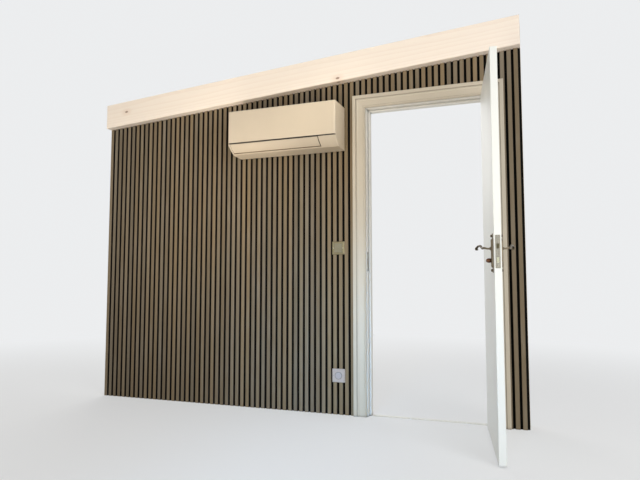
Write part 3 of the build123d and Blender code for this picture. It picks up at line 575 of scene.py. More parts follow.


# %% [markdown]
# ## Every solid gets its finish
# Each finish is made once and handed to the solids that wear it. A painted or timber piece
# takes the version whose grain or brush strokes run along it. The trim, the door and the lining
# are all white paint on the real wall, but the photograph shows them in three tones, so each
# has its own: the trim's carries painted shade, and the trim's and the lining's painted warm
# light. The slope of the rafter's grain is read from the panel under it.

# %% Slope and colours
def top_line(node):
    """The sloping top of a board or panel: X and height at its two ends, read from the solid."""
    low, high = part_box(node)
    points = [v.co for v in nodes[node].data.vertices]
    near = 0.0005
    at_low = max(p.z for p in points if p.x < low.x + near)
    at_high = max(p.z for p in points if p.x > high.x - near)
    return (low.x, at_low), (high.x, at_high)


(roof_x, roof_z), (roof_end_x, roof_end_z) = top_line("felt_left")
slope = (roof_end_z - roof_z) / (roof_end_x - roof_x)
pitch = math.atan(slope)
# Painted shade and warm light: the trim and the lining are the door's white paint, the trim
# darkened and both warmed.
shaded_trim_paint = (0.52, 0.452, 0.35, 1.0)
door_paint = (0.77, 0.77, 0.72, 1.0)
warm_lit_lining_paint = (0.77, 0.735, 0.665, 1.0)
board_paint = (0.82, 0.82, 0.79, 1.0)
shell_colour = (0.56, 0.462, 0.342, 1.0)
# Painted shade: the socket is white plastic, darkened for the shade at the foot of the wall.
shaded_socket_colour = (0.405, 0.34, 0.30, 1.0)
print("pitch of the top:", round(math.degrees(pitch), 2), "degrees")

# %% Dressing a solid
dressed = set()


def put_on(piece, material):
    """The whole piece wears one material."""
    if not piece.material_slots:
        piece.data.materials.append(material)
    for place in piece.material_slots:
        place.material = material


def wear(material, *wearers):
    """These solids wear the material, which is handed back for the pieces that come later."""
    for name in wearers:
        put_on(nodes[name], material)
    dressed.update(wearers)
    print(material.name + ":", ", ".join(wearers))
    return material


# %% Frame, rafter, slats and boards
timber = make_framing("framing_timber_lengthwise", along_x)
wear(timber, "sole_plates", "top_plate", "door_header")
wear(make_framing("framing_timber_upright", along_z), "studs")
wear(make_whitewash(pitch), "rafter")
veneer = wear(make_slat_veneer(), "slats_left", "slats_over_door", "slats_right")
wear(make_felt(), "felt_left", "felt_over_door", "felt_right")
painted_board = make_paint("painted_board", board_paint, along_x)
for face in ("room_board_", "back_board_"):
    wear(painted_board, face + "left", face + "over_door", face + "right")

# %% Trim, door and lining
wear(make_paint("satin_paint_heads", shaded_trim_paint, along_x), "architrave_head")
trim_satin = make_paint("satin_paint_uprights", shaded_trim_paint, along_z)
wear(trim_satin, "architrave_left", "architrave_right")
wear(make_paint("satin_paint_door", door_paint, along_z), "door_leaf")
lining_satin = make_paint("satin_paint_lining", warm_lit_lining_paint, along_z)
wear(lining_satin, "lining_head", "jamb_latch_side", "jamb_hinge_side", "door_stop")
wear(lining_satin, "back_architrave_head", "back_architrave_left", "back_architrave_right")

# %% Air conditioner
wear(make_plastic("ac_shell", shell_colour, 0.36, 0.0015), "ac_housing", "ac_front_cover")
dark_plastic = make_plastic("ac_dark_plastic", (0.075, 0.075, 0.075, 1.0), 0.5)
wear(dark_plastic, "ac_vanes", "ac_intake_grille")
flap_plastic = make_plastic("ac_flap_plastic", shade(shell_colour, 0.97), 0.4, mark=louvre_gap_shade)
wear(flap_plastic, "ac_louvre")
# Painted shade: a near-black strip that stands for the shade in the slot under the cover.
slot_shade_plastic = make_plastic("ac_slot_shade", (0.018, 0.014, 0.010, 1.0), 0.9)
wear(make_filter_mesh(), "ac_filters")

# %% Metal parts, switch and socket
steel = make_satin_metal("satin_steel_x", (0.40, 0.39, 0.36, 1.0), 0.34)
wear(steel, "hinge_flaps_on_jamb", "hinge_flaps_on_door")
nickel = make_satin_metal("lock_nickel", (0.40, 0.37, 0.30, 1.0), 0.26, along_z)
wear(nickel, "lock_case")
# Painted shade: the latch bolt is brass, darkened for the shade where it leaves the lock.
wear(make_satin_metal("latch_brass_shaded", (0.15, 0.13, 0.075, 1.0), 0.3), "latch_bolt")
wear(make_satin_metal("bolt_brass", (0.56, 0.535, 0.37, 1.0), 0.28), "dead_bolt")
wear(make_satin_metal("ac_plate_steel", (0.50, 0.51, 0.52, 1.0), 0.45), "ac_wall_plate")
bar_metal = make_satin_metal("threshold_metal", (0.80, 0.79, 0.74, 1.0), 0.45)
wear(bar_metal, "threshold_bar")
bronze = make_bronze("aged_bronze", (0.125, 0.10, 0.068, 1.0), (0.36, 0.30, 0.22, 1.0), 0.34)
wear(bronze, "handle_plate_room", "handle_plate_back", "lever_handles", "strike_plate")
copper = make_bronze("copper_turn", (0.12, 0.055, 0.03, 1.0), (0.30, 0.17, 0.105, 1.0), 0.32)
wear(copper, "privacy_turn")
champagne = make_satin_metal("switch_metal", (0.205, 0.172, 0.10, 1.0), 0.42, along_z)
wear(champagne, "switch_plate")
wear(make_plastic("switch_rocker", (0.19, 0.162, 0.095, 1.0), 0.35), "switch_rocker")
wear(make_plastic("socket_plastic", shaded_socket_colour, 0.3, 0.0025, socket_face), "socket_plate")
print("materials:", len(bpy.data.materials), "solids without one:", sorted(set(nodes) - dressed))

# %% [markdown]
# ## Growing what repeats
# Slats, boards and screws follow a rule, so Geometry Nodes place them. A tree gets named
# inputs for its sizes and ends in real geometry with its material set. The helpers below hold
# the steps that the trees share, run a tree once and keep the result as a plain mesh, which
# needs no modifier afterwards.


# %% Steps that the trees share
def new_tree(name, sizes, wire):
    """A Geometry Nodes tree with one named input for each size."""
    return new_group(name, {"Geometry": None, **sizes}, wire, "GeometryNodeTree")


def straight_bar(w, width, height, arris, far_end):
    """A closed bar from the origin to its far end. Its section is a rectangle with cut corners."""
    outline = w.geo("CurvePrimitiveQuadrilateral", {"Width": width, "Height": height})
    section = w.geo("FilletCurve", {"Curve": outline, "Radius": arris}, mode="POLY")
    line = w.geo("CurvePrimitiveLine", {"End": far_end})
    bar = w.geo("CurveToMesh", {"Curve": line, "Profile Curve": section, "Fill Caps": True})
    return w.geo("SetShadeSmooth", {"Geometry": bar, "Shade Smooth": False})


def set_out(w, start, piece, offset):
    """The piece on each of a row of points, from the first one on."""
    row = {"Count": start["Count"], "Start Location": start["First"], "Offset": offset}
    return w.geo("InstanceOnPoints", {"Points": w.geo("MeshLine", row), "Instance": piece})


def store(w, geometry, name, value, kind="FLOAT", domain="INSTANCE"):
    """The geometry, with a named value kept on each of its instances or faces."""
    inputs = {"Geometry": geometry, "Name": name, "Value": value}
    return w.geo("StoreNamedAttribute", inputs, data_type=kind, domain=domain)


def kept(w, name, kind="FLOAT"):
    """The value that was kept under a name."""
    return w.geo("InputNamedAttribute", {"Name": name}, data_type=kind)


def dress(w, start, geometry):
    """The last two steps of every tree: real geometry, in its finish."""
    real = w.geo("RealizeInstances", {"Geometry": geometry})
    return {"Geometry": w.geo("SetMaterial", {"Geometry": real, "Material": start["Finish"]})}


# %% Growing a piece
def grow(name, tree, sizes, mesh=None):
    """Runs a tree with these sizes and returns what it made as a plain object."""
    carrier = add_object(name + "_carrier", mesh or bpy.data.meshes.new(name))
    modifier = carrier.modifiers.new("grow", "NODES")
    modifier.node_group = tree
    for item in tree.interface.items_tree:
        if item.in_out == "INPUT" and item.name in sizes:
            modifier[item.identifier] = sizes[item.name]
    graph = bpy.context.evaluated_depsgraph_get()
    made = bpy.data.meshes.new_from_object(carrier.evaluated_get(graph), depsgraph=graph)
    bpy.data.objects.remove(carrier)
    print(name, "faces:", len(made.polygons))
    return add_object(name, made)


def settle(piece, body, slot, *replaced):
    """The piece moves with a body and stands for these solids; the slot is not used."""
    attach(piece, body)
    if replaced:
        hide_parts(*replaced)


# %% [markdown]
# ## The slats
# On the real wall they are strips of veneered board, 27 mm wide at a pitch of 40 mm, glued to
# a felt backing and cut off along the rafter. They could be copied by an Array modifier, but
# then the sloping cut and the short ones over the door would need cutting by hand. A tree does
# both by rule: a line of points, one slat on each, and a last step that stretches every slat
# from its own foot to the sloping line above it.


# %% Slat tree
def wire_slats(w, start):
    """Slats along a line, each with its own tone and shift, then stretched up to the slope."""
    bar = straight_bar(w, start["Width"], start["Thickness"], start["Arris"], (0.0, 0.0, 1.0))
    across = w.parts(w.geo("InputNormal"))[0]
    side = w.math("GREATER_THAN", w.math("ABSOLUTE", across), 0.5)
    slat = store(w, bar, "slat_side", side, domain="FACE")
    slats = set_out(w, start, slat, w.triple(start["Pitch"], 0.0, 0.0))
    index = w.geo("InputIndex")
    half = 0.5
    over_door = w.times(
        w.math("GREATER_THAN", index, w.math("SUBTRACT", start["Door From"], half)),
        w.math("LESS_THAN", index, w.math("ADD", start["Door To"], half)),
    )
    draw = {"ID": index, "Seed": start["Seed"]}
    tone = w.add("FunctionNodeRandomValue", draw)[1]
    draw.update({"Min": (0.0, 0.0, 0.0), "Max": (9.0, 1.0, 1.0)})
    shift = w.add("FunctionNodeRandomValue", draw, data_type="FLOAT_VECTOR")[0]
    slats = store(w, slats, "slat_tone", tone)
    slats = store(w, slats, "slat_shift", shift, "FLOAT_VECTOR")
    slats = store(w, slats, "slat_foot", w.times(over_door, start["Door Height"]))
    real = w.geo("RealizeInstances", {"Geometry": slats})
    x, y, z = w.parts(w.geo("InputPosition"))
    foot = kept(w, "slat_foot")
    rise = w.times(w.math("SUBTRACT", x, start["Roof X"]), start["Slope"])
    roof = w.math("ADD", start["Roof Z"], rise)
    height = w.math("ADD", foot, w.times(z, w.math("SUBTRACT", roof, foot)))
    cut = w.geo("SetPosition", {"Geometry": real, "Position": w.triple(x, y, height)})
    return dress(w, start, cut)


# %% Slats
slat_pitch = 0.040
left_low, left_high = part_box("slats_left")
over_low, over_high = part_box("slats_over_door")
right_low, right_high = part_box("slats_right")
slat_thickness = left_high.y - left_low.y
slat_width = right_high.x - right_low.x - 3 * slat_pitch
slat_count = round((right_high.x - left_low.x - slat_width) / slat_pitch) + 1
slat_sizes = {
    "Count": slat_count,
    "Pitch": slat_pitch,
    "Width": slat_width,
    "Thickness": slat_thickness,
    "Arris": 0.0017,
    "First": (left_low.x + slat_width / 2, left_low.y + slat_thickness / 2, 0.0),
    "Door From": round((over_low.x - left_low.x) / slat_pitch),
    "Door To": round((over_high.x - slat_width - left_low.x) / slat_pitch),
    "Door Height": over_low.z,
    "Roof X": roof_x,
    "Roof Z": roof_z,
    "Slope": slope,
    "Seed": 7,
    "Finish": veneer,
}
slats = grow("wall_slats", new_tree("slat_row", slat_sizes, wire_slats), slat_sizes)
settle(slats, "wall", "oak_slats", "slats_left", "slats_over_door", "slats_right")
print("slats:", slat_count, "width mm:", round(slat_width * 1000, 1))

# %% [markdown]
# ## The boarding on the back face
# That face is clad in painted tongue-and-groove boards with a V at each joint. One board is a
# chamfered section as long as the wall; the tree stacks the courses, and a knife along the
# wall's slope then trims them, because a sloping cut through long boards is simplest with bmesh.


# %% Board tree and knife
def wire_courses(w, start):
    """Boards stacked from the first course up."""
    far_end = w.triple(start["Length"], 0.0, 0.0)
    board = straight_bar(w, start["Thickness"], start["Cover"], start["Groove"], far_end)
    return dress(w, start, set_out(w, start, board, w.triple(0.0, 0.0, start["Cover"])))


def trim(piece, point, outward):
    """Cuts off what lies beyond a plane and closes the cut."""
    mesh = bmesh.new()
    mesh.from_mesh(piece.data)
    whole = mesh.verts[:] + mesh.edges[:] + mesh.faces[:]
    bmesh.ops.bisect_plane(mesh, geom=whole, plane_co=point, plane_no=outward, clear_outer=True)
    bmesh.ops.holes_fill(mesh, edges=mesh.edges[:], sides=0)
    bmesh.ops.recalc_face_normals(mesh, faces=mesh.faces[:])
    mesh.to_mesh(piece.data)
    mesh.free()


# %% Back boarding
board_cover = 0.14
groove_depth = 0.003
roof_normal = (-math.sin(pitch), 0.0, math.cos(pitch))


def board_sizes(low, high):
    """The tree's inputs for the boards that fill one solid's box."""
    first_course = math.floor(low.z / board_cover)
    return {
        "Cover": board_cover,
        "Thickness": high.y - low.y,
        "Groove": groove_depth,
        "Length": high.x - low.x,
        "Count": math.ceil(high.z / board_cover) - first_course,
        "First": (low.x, (low.y + high.y) / 2, (first_course + 0.5) * board_cover),
        "Finish": painted_board,
    }


board_tree = new_tree("board_courses", board_sizes(*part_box("back_board_left")), wire_courses)
for part in ("left", "over_door", "right"):
    node = "back_board_" + part
    low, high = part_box(node)
    boards = grow("shower_boards_" + part, board_tree, board_sizes(low, high))
    start_x, start_z = top_line(node)[0]
    trim(boards, (start_x, 0.0, start_z), roof_normal)
    if low.z > 0.0:
        trim(boards, low, (0.0, 0.0, -1.0))
    settle(boards, "wall", "painted_board", node)

# %% [markdown]
# ## Where the door's pieces are
# The leaf stands open in these solids, turned about its hinge pins. It is easier to think of
# its fittings on the closed door, with X across it and Y through it, so one function turns
# such a point to where the open door has it.

# %% Door places
x_way = Vector((1.0, 0.0, 0.0))
y_way = Vector((0.0, 1.0, 0.0))
z_way = Vector((0.0, 0.0, 1.0))
pivot = Vector((*joints["door_swing"]["pos_m"][:2], 0.0))
open_turn = Matrix.Rotation(-math.radians(joints["door_swing"]["range_deg"][0]), 4, "Z")
closing_turn = open_turn.inverted()


def on_open_door(point):
    """From a place on the closed door to the same place on the open one."""
    return open_turn @ (Vector(point) - pivot) + pivot


def on_closed_door(point):
    """The way back, for a place read from a solid of the open door."""
    return closing_turn @ (Vector(point) - pivot) + pivot


def closed_box(node):
    """A door solid's lowest and highest corner, as if the door were closed."""
    points = [on_closed_door(v.co) for v in nodes[node].data.vertices]
    low = Vector(min(p[i] for p in points) for i in range(3))
    high = Vector(max(p[i] for p in points) for i in range(3))
    return low, high


spindle = on_closed_door(joints["lever_turn"]["pos_m"])
leaf_low, leaf_high = closed_box("door_leaf")
plate_low, plate_high = closed_box("handle_plate_room")
back_low, back_high = closed_box("handle_plate_back")
print("closed leaf:", [round(v, 4) for v in (*leaf_low, *leaf_high)])

# %% [markdown]
# ## Screws
# Hinges, plates and sockets are all fixed with countersunk screws. The head is modelled once,
# as a shallow dome with a cross cut into it. A tree then sets one on each point of a small
# mesh that carries two attributes: the way the surface faces, and how large the head is. Each
# head also gets a turn of its own, since no two screws stop at the same angle.


# %% Screw head
def circle(sides):
    """The cosine and sine of each corner of a regular polygon."""
    angles = [i * math.tau / sides for i in range(sides)]
    return [(math.cos(angle), math.sin(angle)) for angle in angles]


def to_data(shape, name):
    """A finished bmesh shape as an object's data."""
    data = bpy.data.meshes.new(name)
    shape.to_mesh(data)
    shape.free()
    return data


def screw_head():
    """A head of radius 1 and its cross recess, facing up, closed underneath."""
    arm = 0.12
    reach = 0.55
    crown = 0.10
    recess = 0.28
    sunk = 0.35
    sides = 24
    mesh = bmesh.new()
    cross = []
    for quarter in range(4):
        turn = Matrix.Rotation(quarter * math.pi / 2, 4, "Z")
        for x, y in ((arm, arm), (arm, reach), (-arm, reach)):
            cross.append(turn @ Vector((x, y, crown)))
    top = [mesh.verts.new(p) for p in cross]
    edge = [mesh.verts.new((x, y, 0.0)) for x, y in circle(sides)]
    for ring in (top, edge):
        for i in range(len(ring)):
            mesh.edges.new((ring[i - 1], ring[i]))
    bmesh.ops.triangle_fill(mesh, edges=mesh.edges[:], use_beauty=True)
    inside = [f for f in mesh.faces if all(v in top for v in f.verts)]
    bmesh.ops.delete(mesh, geom=inside, context="FACES_ONLY")
    for ring, depth in ((top, crown - recess), (edge, -sunk)):
        lower = [mesh.verts.new((v.co.x, v.co.y, depth)) for v in ring]
        for i in range(len(ring)):
            mesh.faces.new((ring[i - 1], ring[i], lower[i], lower[i - 1]))
        mesh.faces.new(lower)
    bmesh.ops.recalc_face_normals(mesh, faces=mesh.faces[:])
    return to_data(mesh, "screw_head")


# %% Screw tree
def wire_screws(w, start):
    """One head on each point, turned to face as the point says."""
    head = w.add("GeometryNodeObjectInfo", {"Object": screw_pattern})["Geometry"]
    radius = kept(w, "radius")
    draw = {"Max": math.pi, "ID": w.geo("InputIndex"), "Seed": start["Seed"]}
    angle = w.add("FunctionNodeRandomValue", draw)[1]
    spin = w.fill("FunctionNodeEulerToRotation", w.triple(0.0, 0.0, angle))[0]
    facing = {"Vector": kept(w, "facing", "FLOAT_VECTOR")}
    aligned = w.add("FunctionNodeAlignRotationToVector", facing, axis="Z")[0]
    both = w.fill("FunctionNodeRotateRotation", aligned, spin, rotation_space="LOCAL")[0]
    inputs = {
        "Points": start["Geometry"],
        "Instance": head,
        "Rotation": both,
        "Scale": w.triple(radius, radius, radius),
    }
    return dress(w, start, w.geo("InstanceOnPoints", inputs))


screw_pattern = bpy.data.objects.new("screw_pattern", screw_head())
screw_sizes = {"Seed": 3, "Finish": steel}
screw_tree = new_tree("screws", screw_sizes, wire_screws)


def drive(name, body, slot, finish, screws):
    """One piece of all these screws. Each is a place, the way it faces and its head's radius."""
    points = bpy.data.meshes.new(name)
    points.from_pydata([place for place, facing, radius in screws], [], [])
    facings = points.attributes.new("facing", "FLOAT_VECTOR", "POINT")
    for value, (place, facing, radius) in zip(facings.data, screws):
        value.vector = facing
    radii = points.attributes.new("radius", "FLOAT", "POINT")
    for value, (place, facing, radius) in zip(radii.data, screws):
        value.value = radius
    sizes = dict(screw_sizes, Finish=finish)
    settle(grow(name, screw_tree, sizes, points), body, slot)


# %% [markdown]
# Each set of screws is worked out from the solid that it holds: the hinge flaps take four in
# a zigzag, the lock's two plates one at each end, the long handle plates one above and one
# below. The switch and the socket have one at each side, and the threshold bar has four.

# %% Screw places
hinge_screw = 0.0036
lock_screw = 0.0032
plate_screw = 0.0030
outlet_screw = 0.0028
strike_inset = 0.008
forend_inset = 0.010
plate_inset = 0.040
outlet_reach = 0.0325
bar_shares = (0.06, 0.35, 0.65, 0.94)
hinge_height = 0.100
flap_proud = 0.0011
zigzag = ((-0.038, 0.010), (-0.014, 0.021), (0.014, 0.010), (0.038, 0.021))
flap_low, flap_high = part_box("hinge_flaps_on_jamb")
door_flap_high = closed_box("hinge_flaps_on_door")[1]
hinge_middles = (
    flap_low.z + hinge_height / 2,
    (flap_low.z + flap_high.z) / 2,
    flap_high.z - hinge_height / 2,
)


def flap_screws(x, edge_y, way):
    """Four screws in a zigzag on each of the three flaps."""
    return [
        (Vector((x, edge_y - inset, middle + up)), way, hinge_screw)
        for middle in hinge_middles
        for up, inset in zigzag
    ]


def turned(screws):
    """The same screws on the open door."""
    spun = open_turn.to_3x3()
    return [(on_open_door(place), spun @ facing, radius) for place, facing, radius in screws]


def end_screws(box, x, way, inset):
    """One screw near each end of an upright lock plate that faces along X."""
    low, high = box
    y = (low.y + high.y) / 2
    return [(Vector((x, y, z)), way, lock_screw) for z in (low.z + inset, high.z - inset)]


# %% Hinge and lock screws
jamb_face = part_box("jamb_hinge_side")[0].x
jamb_screws = flap_screws(jamb_face - flap_proud, flap_high.y, -x_way)
drive("hinge_screws_in_jamb", "wall", "hinge_steel", steel, jamb_screws)
leaf_screws = flap_screws(leaf_high.x + flap_proud, door_flap_high.y, x_way)
drive("hinge_screws_in_door", "door", "hinge_steel", steel, turned(leaf_screws))

strike_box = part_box("strike_plate")
strike_screws = end_screws(strike_box, strike_box[1].x, x_way, strike_inset)
drive("strike_screws", "wall", "aged_bronze", bronze, strike_screws)
case_box = closed_box("lock_case")
forend_screws = end_screws(case_box, case_box[0].x, -x_way, forend_inset)
drive("forend_screws", "door", "lock_steel", nickel, turned(forend_screws))

# %% Plate and threshold screws
handle_plates = (
    (plate_low, plate_high, plate_low.y, -1),
    (back_low, back_high, back_high.y, 1),
)
backplate_screws = [
    (Vector(((low.x + high.x) / 2, face_y, z)), side * y_way, plate_screw)
    for low, high, face_y, side in handle_plates
    for z in (low.z + plate_inset, high.z - plate_inset)
]
drive("backplate_screws", "door", "aged_bronze", bronze, turned(backplate_screws))

outlet_screws = []
for plate in ("switch_plate", "socket_plate"):
    low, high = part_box(plate)
    middle = (low + high) / 2
    for side in (-outlet_reach, outlet_reach):
        place = Vector((middle.x + side, low.y, middle.z))
        outlet_screws.append((place, -y_way, outlet_screw))
drive("outlet_screws", "wall", "hinge_steel", steel, outlet_screws)

bar_low, bar_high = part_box("threshold_bar")
bar_y = (bar_low.y + bar_high.y) / 2
bar_screws = [
    (Vector((bar_low.x + share * (bar_high.x - bar_low.x), bar_y, bar_high.z)), z_way, lock_screw)
    for share in bar_shares
]
drive("threshold_screws", "wall", "threshold_metal", bar_metal, bar_screws)

# %% [markdown]
# ## Lever handles
# The levers are cast scrolls: a round neck leaves the backplate, bends along the door, swells
# to an oval grip and thins into a strap that rolls up at its end. A sweep makes this in one
# go. The middle line is a smooth curve through a few chosen points with a spiral added at its
# end, and the section changes from round to oval to flat on the way.


# %% Smooth line and sweep
def catmull(points, share):
    """A place on the smooth curve through the points, for a share of it from 0 to 1."""
    spans = len(points) - 1
    i = min(int(share * spans), spans - 1)
    t = share * spans - i
    before = points[i - 1] if i else 2 * points[0] - points[1]
    after = points[i + 2] if i + 2 <= spans else 2 * points[-1] - points[-2]
    a, b = points[i], points[i + 1]
    return 0.5 * (
        2 * a
        + (b - before) * t
        + (2 * before - 5 * a + 4 * b - after) * t * t
        + (3 * a - before - 3 * b + after) * t * t * t
    )


def sweep(rings, closed=False):
    """A skin over rings of points: with an end face at both ends, or closed on itself."""
    mesh = bmesh.new()
    loops = [[mesh.verts.new(p) for p in ring] for ring in rings]
    pairs = zip(loops[-1:] + loops[:-1], loops) if closed else zip(loops, loops[1:])
    for near, far in pairs:
        for i in range(len(near)):
            mesh.faces.new((near[i - 1], near[i], far[i], far[i - 1]))
    if not closed:
        mesh.faces.new(loops[0])
        mesh.faces.new(list(reversed(loops[-1])))
    bmesh.ops.recalc_face_normals(mesh, faces=mesh.faces[:])
    return mesh


# %% Ovals and turned forms
sharp_edge = math.radians(38)


def oval(middle, wide_way, high_way, width, height, sides=20, squareness=2.0):
    """A ring of points round an oval, nearer to a rectangle the higher its squareness."""
    ring = []
    for c, s in circle(sides):
        x = math.copysign(abs(c) ** (2 / squareness), c) * width / 2
        y = math.copysign(abs(s) ** (2 / squareness), s) * height / 2
        ring.append(middle + wide_way * x + high_way * y)
    return ring


def turned_form(profile, centre, side, sides=28):
    """A turned piece along Y: each point of its profile is a radius and a distance out."""
    return sweep(
        [
            [centre + Vector((c * radius, side * out, s * radius)) for c, s in circle(sides)]
            for radius, out in profile
        ]
    )


def join_shapes(name, shapes, finish):
    """Several bmesh shapes as one smooth object, turned to the open door."""
    whole = bmesh.new()
    for shape in shapes:
        part = to_data(shape, "part")
        whole.from_mesh(part)
        bpy.data.meshes.remove(part)
    for vertex in whole.verts:
        vertex.co = on_open_door(vertex.co)
    data = to_data(whole, name)
    data.shade_smooth()
    data.set_sharp_from_angle(angle=sharp_edge)
    piece = add_object(name, data)
    put_on(piece, finish)
    print(name, "faces:", len(data.polygons))
    return piece


# %% [markdown]
# The lever's route is given once, for both faces of the door: how far along the door, how far
# out from the backplate and how far above the spindle. The boss under each neck is turned, and
# a square steel bar joins the pair through the lock.

# %% Lever sizes
lever_route = (
    (0.0, 0.0, 0.0),
    (0.0, 0.020, 0.0),
    (0.008, 0.036, 0.004),
    (0.030, 0.043, 0.004),
    (0.052, 0.049, 0.015),
    (0.078, 0.057, 0.018),
    (0.103, 0.066, 0.010),
)
boss_profile = (
    (0.0088, -0.004), (0.0088, 0.0042), (0.0092, 0.0048), (0.0092, 0.0062),
    (0.0084, 0.0070), (0.0066, 0.0086), (0.0056, 0.0110), (0.0046, 0.0130),
)
arm_steps = 44
neck_size = 0.0085
grip_width = 0.0085
grip_height = 0.0125
grip_starts = 0.22
grip_full = 0.3
strap_width = 0.015
strap_height = 0.0060
strap_starts = 0.62
lever_squareness = 2.4
scroll_steps = 26
scroll_turns = 0.62
scroll_radius = 0.0060
scroll_closing = 0.35
scroll_thinning = 0.35
half_spindle = 0.004


# %% Lever shape
def scroll(tip, ahead, across):
    """The points of the spiral in which the strap rolls up, over its tip and down."""
    up = across.cross(ahead).normalized()
    middle = tip - up * scroll_radius
    points = []
    for i in range(1, scroll_steps + 1):
        share = i / scroll_steps
        spun = Matrix.Rotation(-share * scroll_turns * math.tau, 3, across)
        points.append(middle + spun @ up * scroll_radius * (1 - scroll_closing * share))
    return points


def arm_section(share):
    """Width and height of the arm: round at the neck, oval in the grip, flat in the strap."""
    swell = min(max((share - grip_starts) / grip_full, 0.0), 1.0)
    thin = min(max((share - strap_starts) / (1 - strap_starts), 0.0), 1.0)
    width = neck_size + (grip_width - neck_size) * swell + (strap_width - grip_width) * thin
    height = neck_size + (grip_height - neck_size) * swell + (strap_height - grip_height) * thin
    return width, height


def lever_rings(centre, side):
    """The rings of one lever. side is -1 on the room face of the door and 1 on the other."""
    route = [centre + Vector((along, side * out, up)) for along, out, up in lever_route]
    line = [catmull(route, i / arm_steps) for i in range(arm_steps + 1)]
    ahead = (line[-1] - line[-2]).normalized()
    across = ahead.cross(z_way).normalized()
    whole = line + scroll(line[-1], ahead, across)
    rings = []
    for i, place in enumerate(whole):
        ahead = (whole[min(i + 1, len(whole) - 1)] - whole[max(i - 1, 0)]).normalized()
        if i <= arm_steps:
            wide = ahead.cross(z_way).normalized()
            width, height = arm_section(i / arm_steps)
        else:
            wide = across
            width = strap_width
            height = strap_height * (1 - scroll_thinning * (i - arm_steps) / scroll_steps)
        if wide.dot(across) < 0:
            wide = -wide
        high = wide.cross(ahead).normalized()
        rings.append(oval(place, wide, high, width, height, squareness=lever_squareness))
    return rings


def square_bar(half, y0, y1):
    """The steel spindle that joins the two levers through the lock."""
    corners = ((-half, -half), (half, -half), (half, half), (-half, half))
    return sweep(
        [[spindle + Vector((x, y - spindle.y, z)) for x, z in corners] for y in (y0, y1)]
    )


# %% Both levers
lever_shapes = []
for low, high, face_y, side in handle_plates:
    centre = Vector((spindle.x, face_y, spindle.z))
    lever_shapes.append(sweep(lever_rings(centre, side)))
    lever_shapes.append(turned_form(boss_profile, centre, side))
lever_shapes.append(square_bar(half_spindle, plate_low.y, back_high.y))
levers = join_shapes("scroll_levers", lever_shapes, bronze)
settle(levers, "lever", "aged_bronze", "lever_handles")

# %% [markdown]
# ## Cast details of the backplates and the turn
# Each backplate has a raised bead round its field and a domed knob on each of its two end
# lobes, all cast in one with the plate. The bead is a rounded rectangle of points, swept round
# and closed on itself. The turn ends in a smooth oval bulb.


# %% Sizes of the cast details
field_half_width = 0.0150
field_half_height = 0.0665
field_corner = 0.010
bead_width = 0.0055
bead_height = 0.0080
bead_sides = 12
knob_inset = 0.012
knob_sunk = 0.002
knob_sides = 20
knob_profile = (
    (0.0078, -0.002), (0.0078, 0.0010), (0.0062, 0.0022), (0.0070, 0.0040),
    (0.0066, 0.0060), (0.0048, 0.0076), (0.0022, 0.0084),
)
# Each ring of the bulb: its distance out, half its width and half its height
bulb_profile = (
    (0.0008, 0.0078, 0.0078), (0.0035, 0.0092, 0.0086), (0.0065, 0.0140, 0.0104),
    (0.0110, 0.0178, 0.0116), (0.0160, 0.0185, 0.0113), (0.0210, 0.0184, 0.0101),
    (0.0266, 0.0174, 0.0078), (0.0284, 0.0135, 0.0054), (0.0294, 0.0065, 0.0027),
)


# %% Beads, knobs and the bulb
def rounded_loop(half_width, half_height, radius):
    """Points round a rectangle with round corners, in X and Z about its own middle."""
    steps = 5
    points = []
    for quarter, (sx, sz) in enumerate(((1, 1), (-1, 1), (-1, -1), (1, -1))):
        for i in range(steps + 1):
            angle = (quarter + i / steps) * math.pi / 2
            x = sx * (half_width - radius) + radius * math.cos(angle)
            z = sz * (half_height - radius) + radius * math.sin(angle)
            points.append((x, z))
    return points


def plate_bead(middle, side):
    """A half-sunk bead round one backplate's field, as a closed ring."""
    way = side * y_way
    field = rounded_loop(field_half_width, field_half_height, field_corner)
    loop = [middle + Vector((x, 0.0, z)) for x, z in field]
    rings = []
    for i, place in enumerate(loop):
        ahead = (loop[(i + 1) % len(loop)] - loop[i - 1]).normalized()
        rings.append(oval(place, ahead.cross(way), way, bead_width, bead_height, bead_sides))
    return sweep(rings, closed=True)


details = []
for low, high, face_y, side in handle_plates:
    middle = Vector(((low.x + high.x) / 2, face_y, (low.z + high.z) / 2))
    details.append(plate_bead(middle, side))
    for z in (low.z + knob_inset, high.z - knob_inset):
        lobe = Vector((middle.x, face_y - side * knob_sunk, z))
        details.append(turned_form(knob_profile, lobe, side, knob_sides))
settle(join_shapes("backplate_details", details, bronze), "door", "aged_bronze")

turn_place = on_closed_door(joints["privacy_turn"]["pos_m"])
bulb_rings = [
    oval(Vector((turn_place.x, back_high.y + out, turn_place.z)), x_way, z_way, 2 * wide, 2 * high)
    for out, wide, high in bulb_profile
]
settle(join_shapes("turn_bulb", [sweep(bulb_rings)], copper), "turn", "copper_turn")

# %% [markdown]
# ## Painted shade behind the air conditioner's cover
# A near-black strip lies in the recess that the cover closes onto. It is painted shade: from
# below it reads as the dark line under the cover. It ends a little short of the unit's two sides.

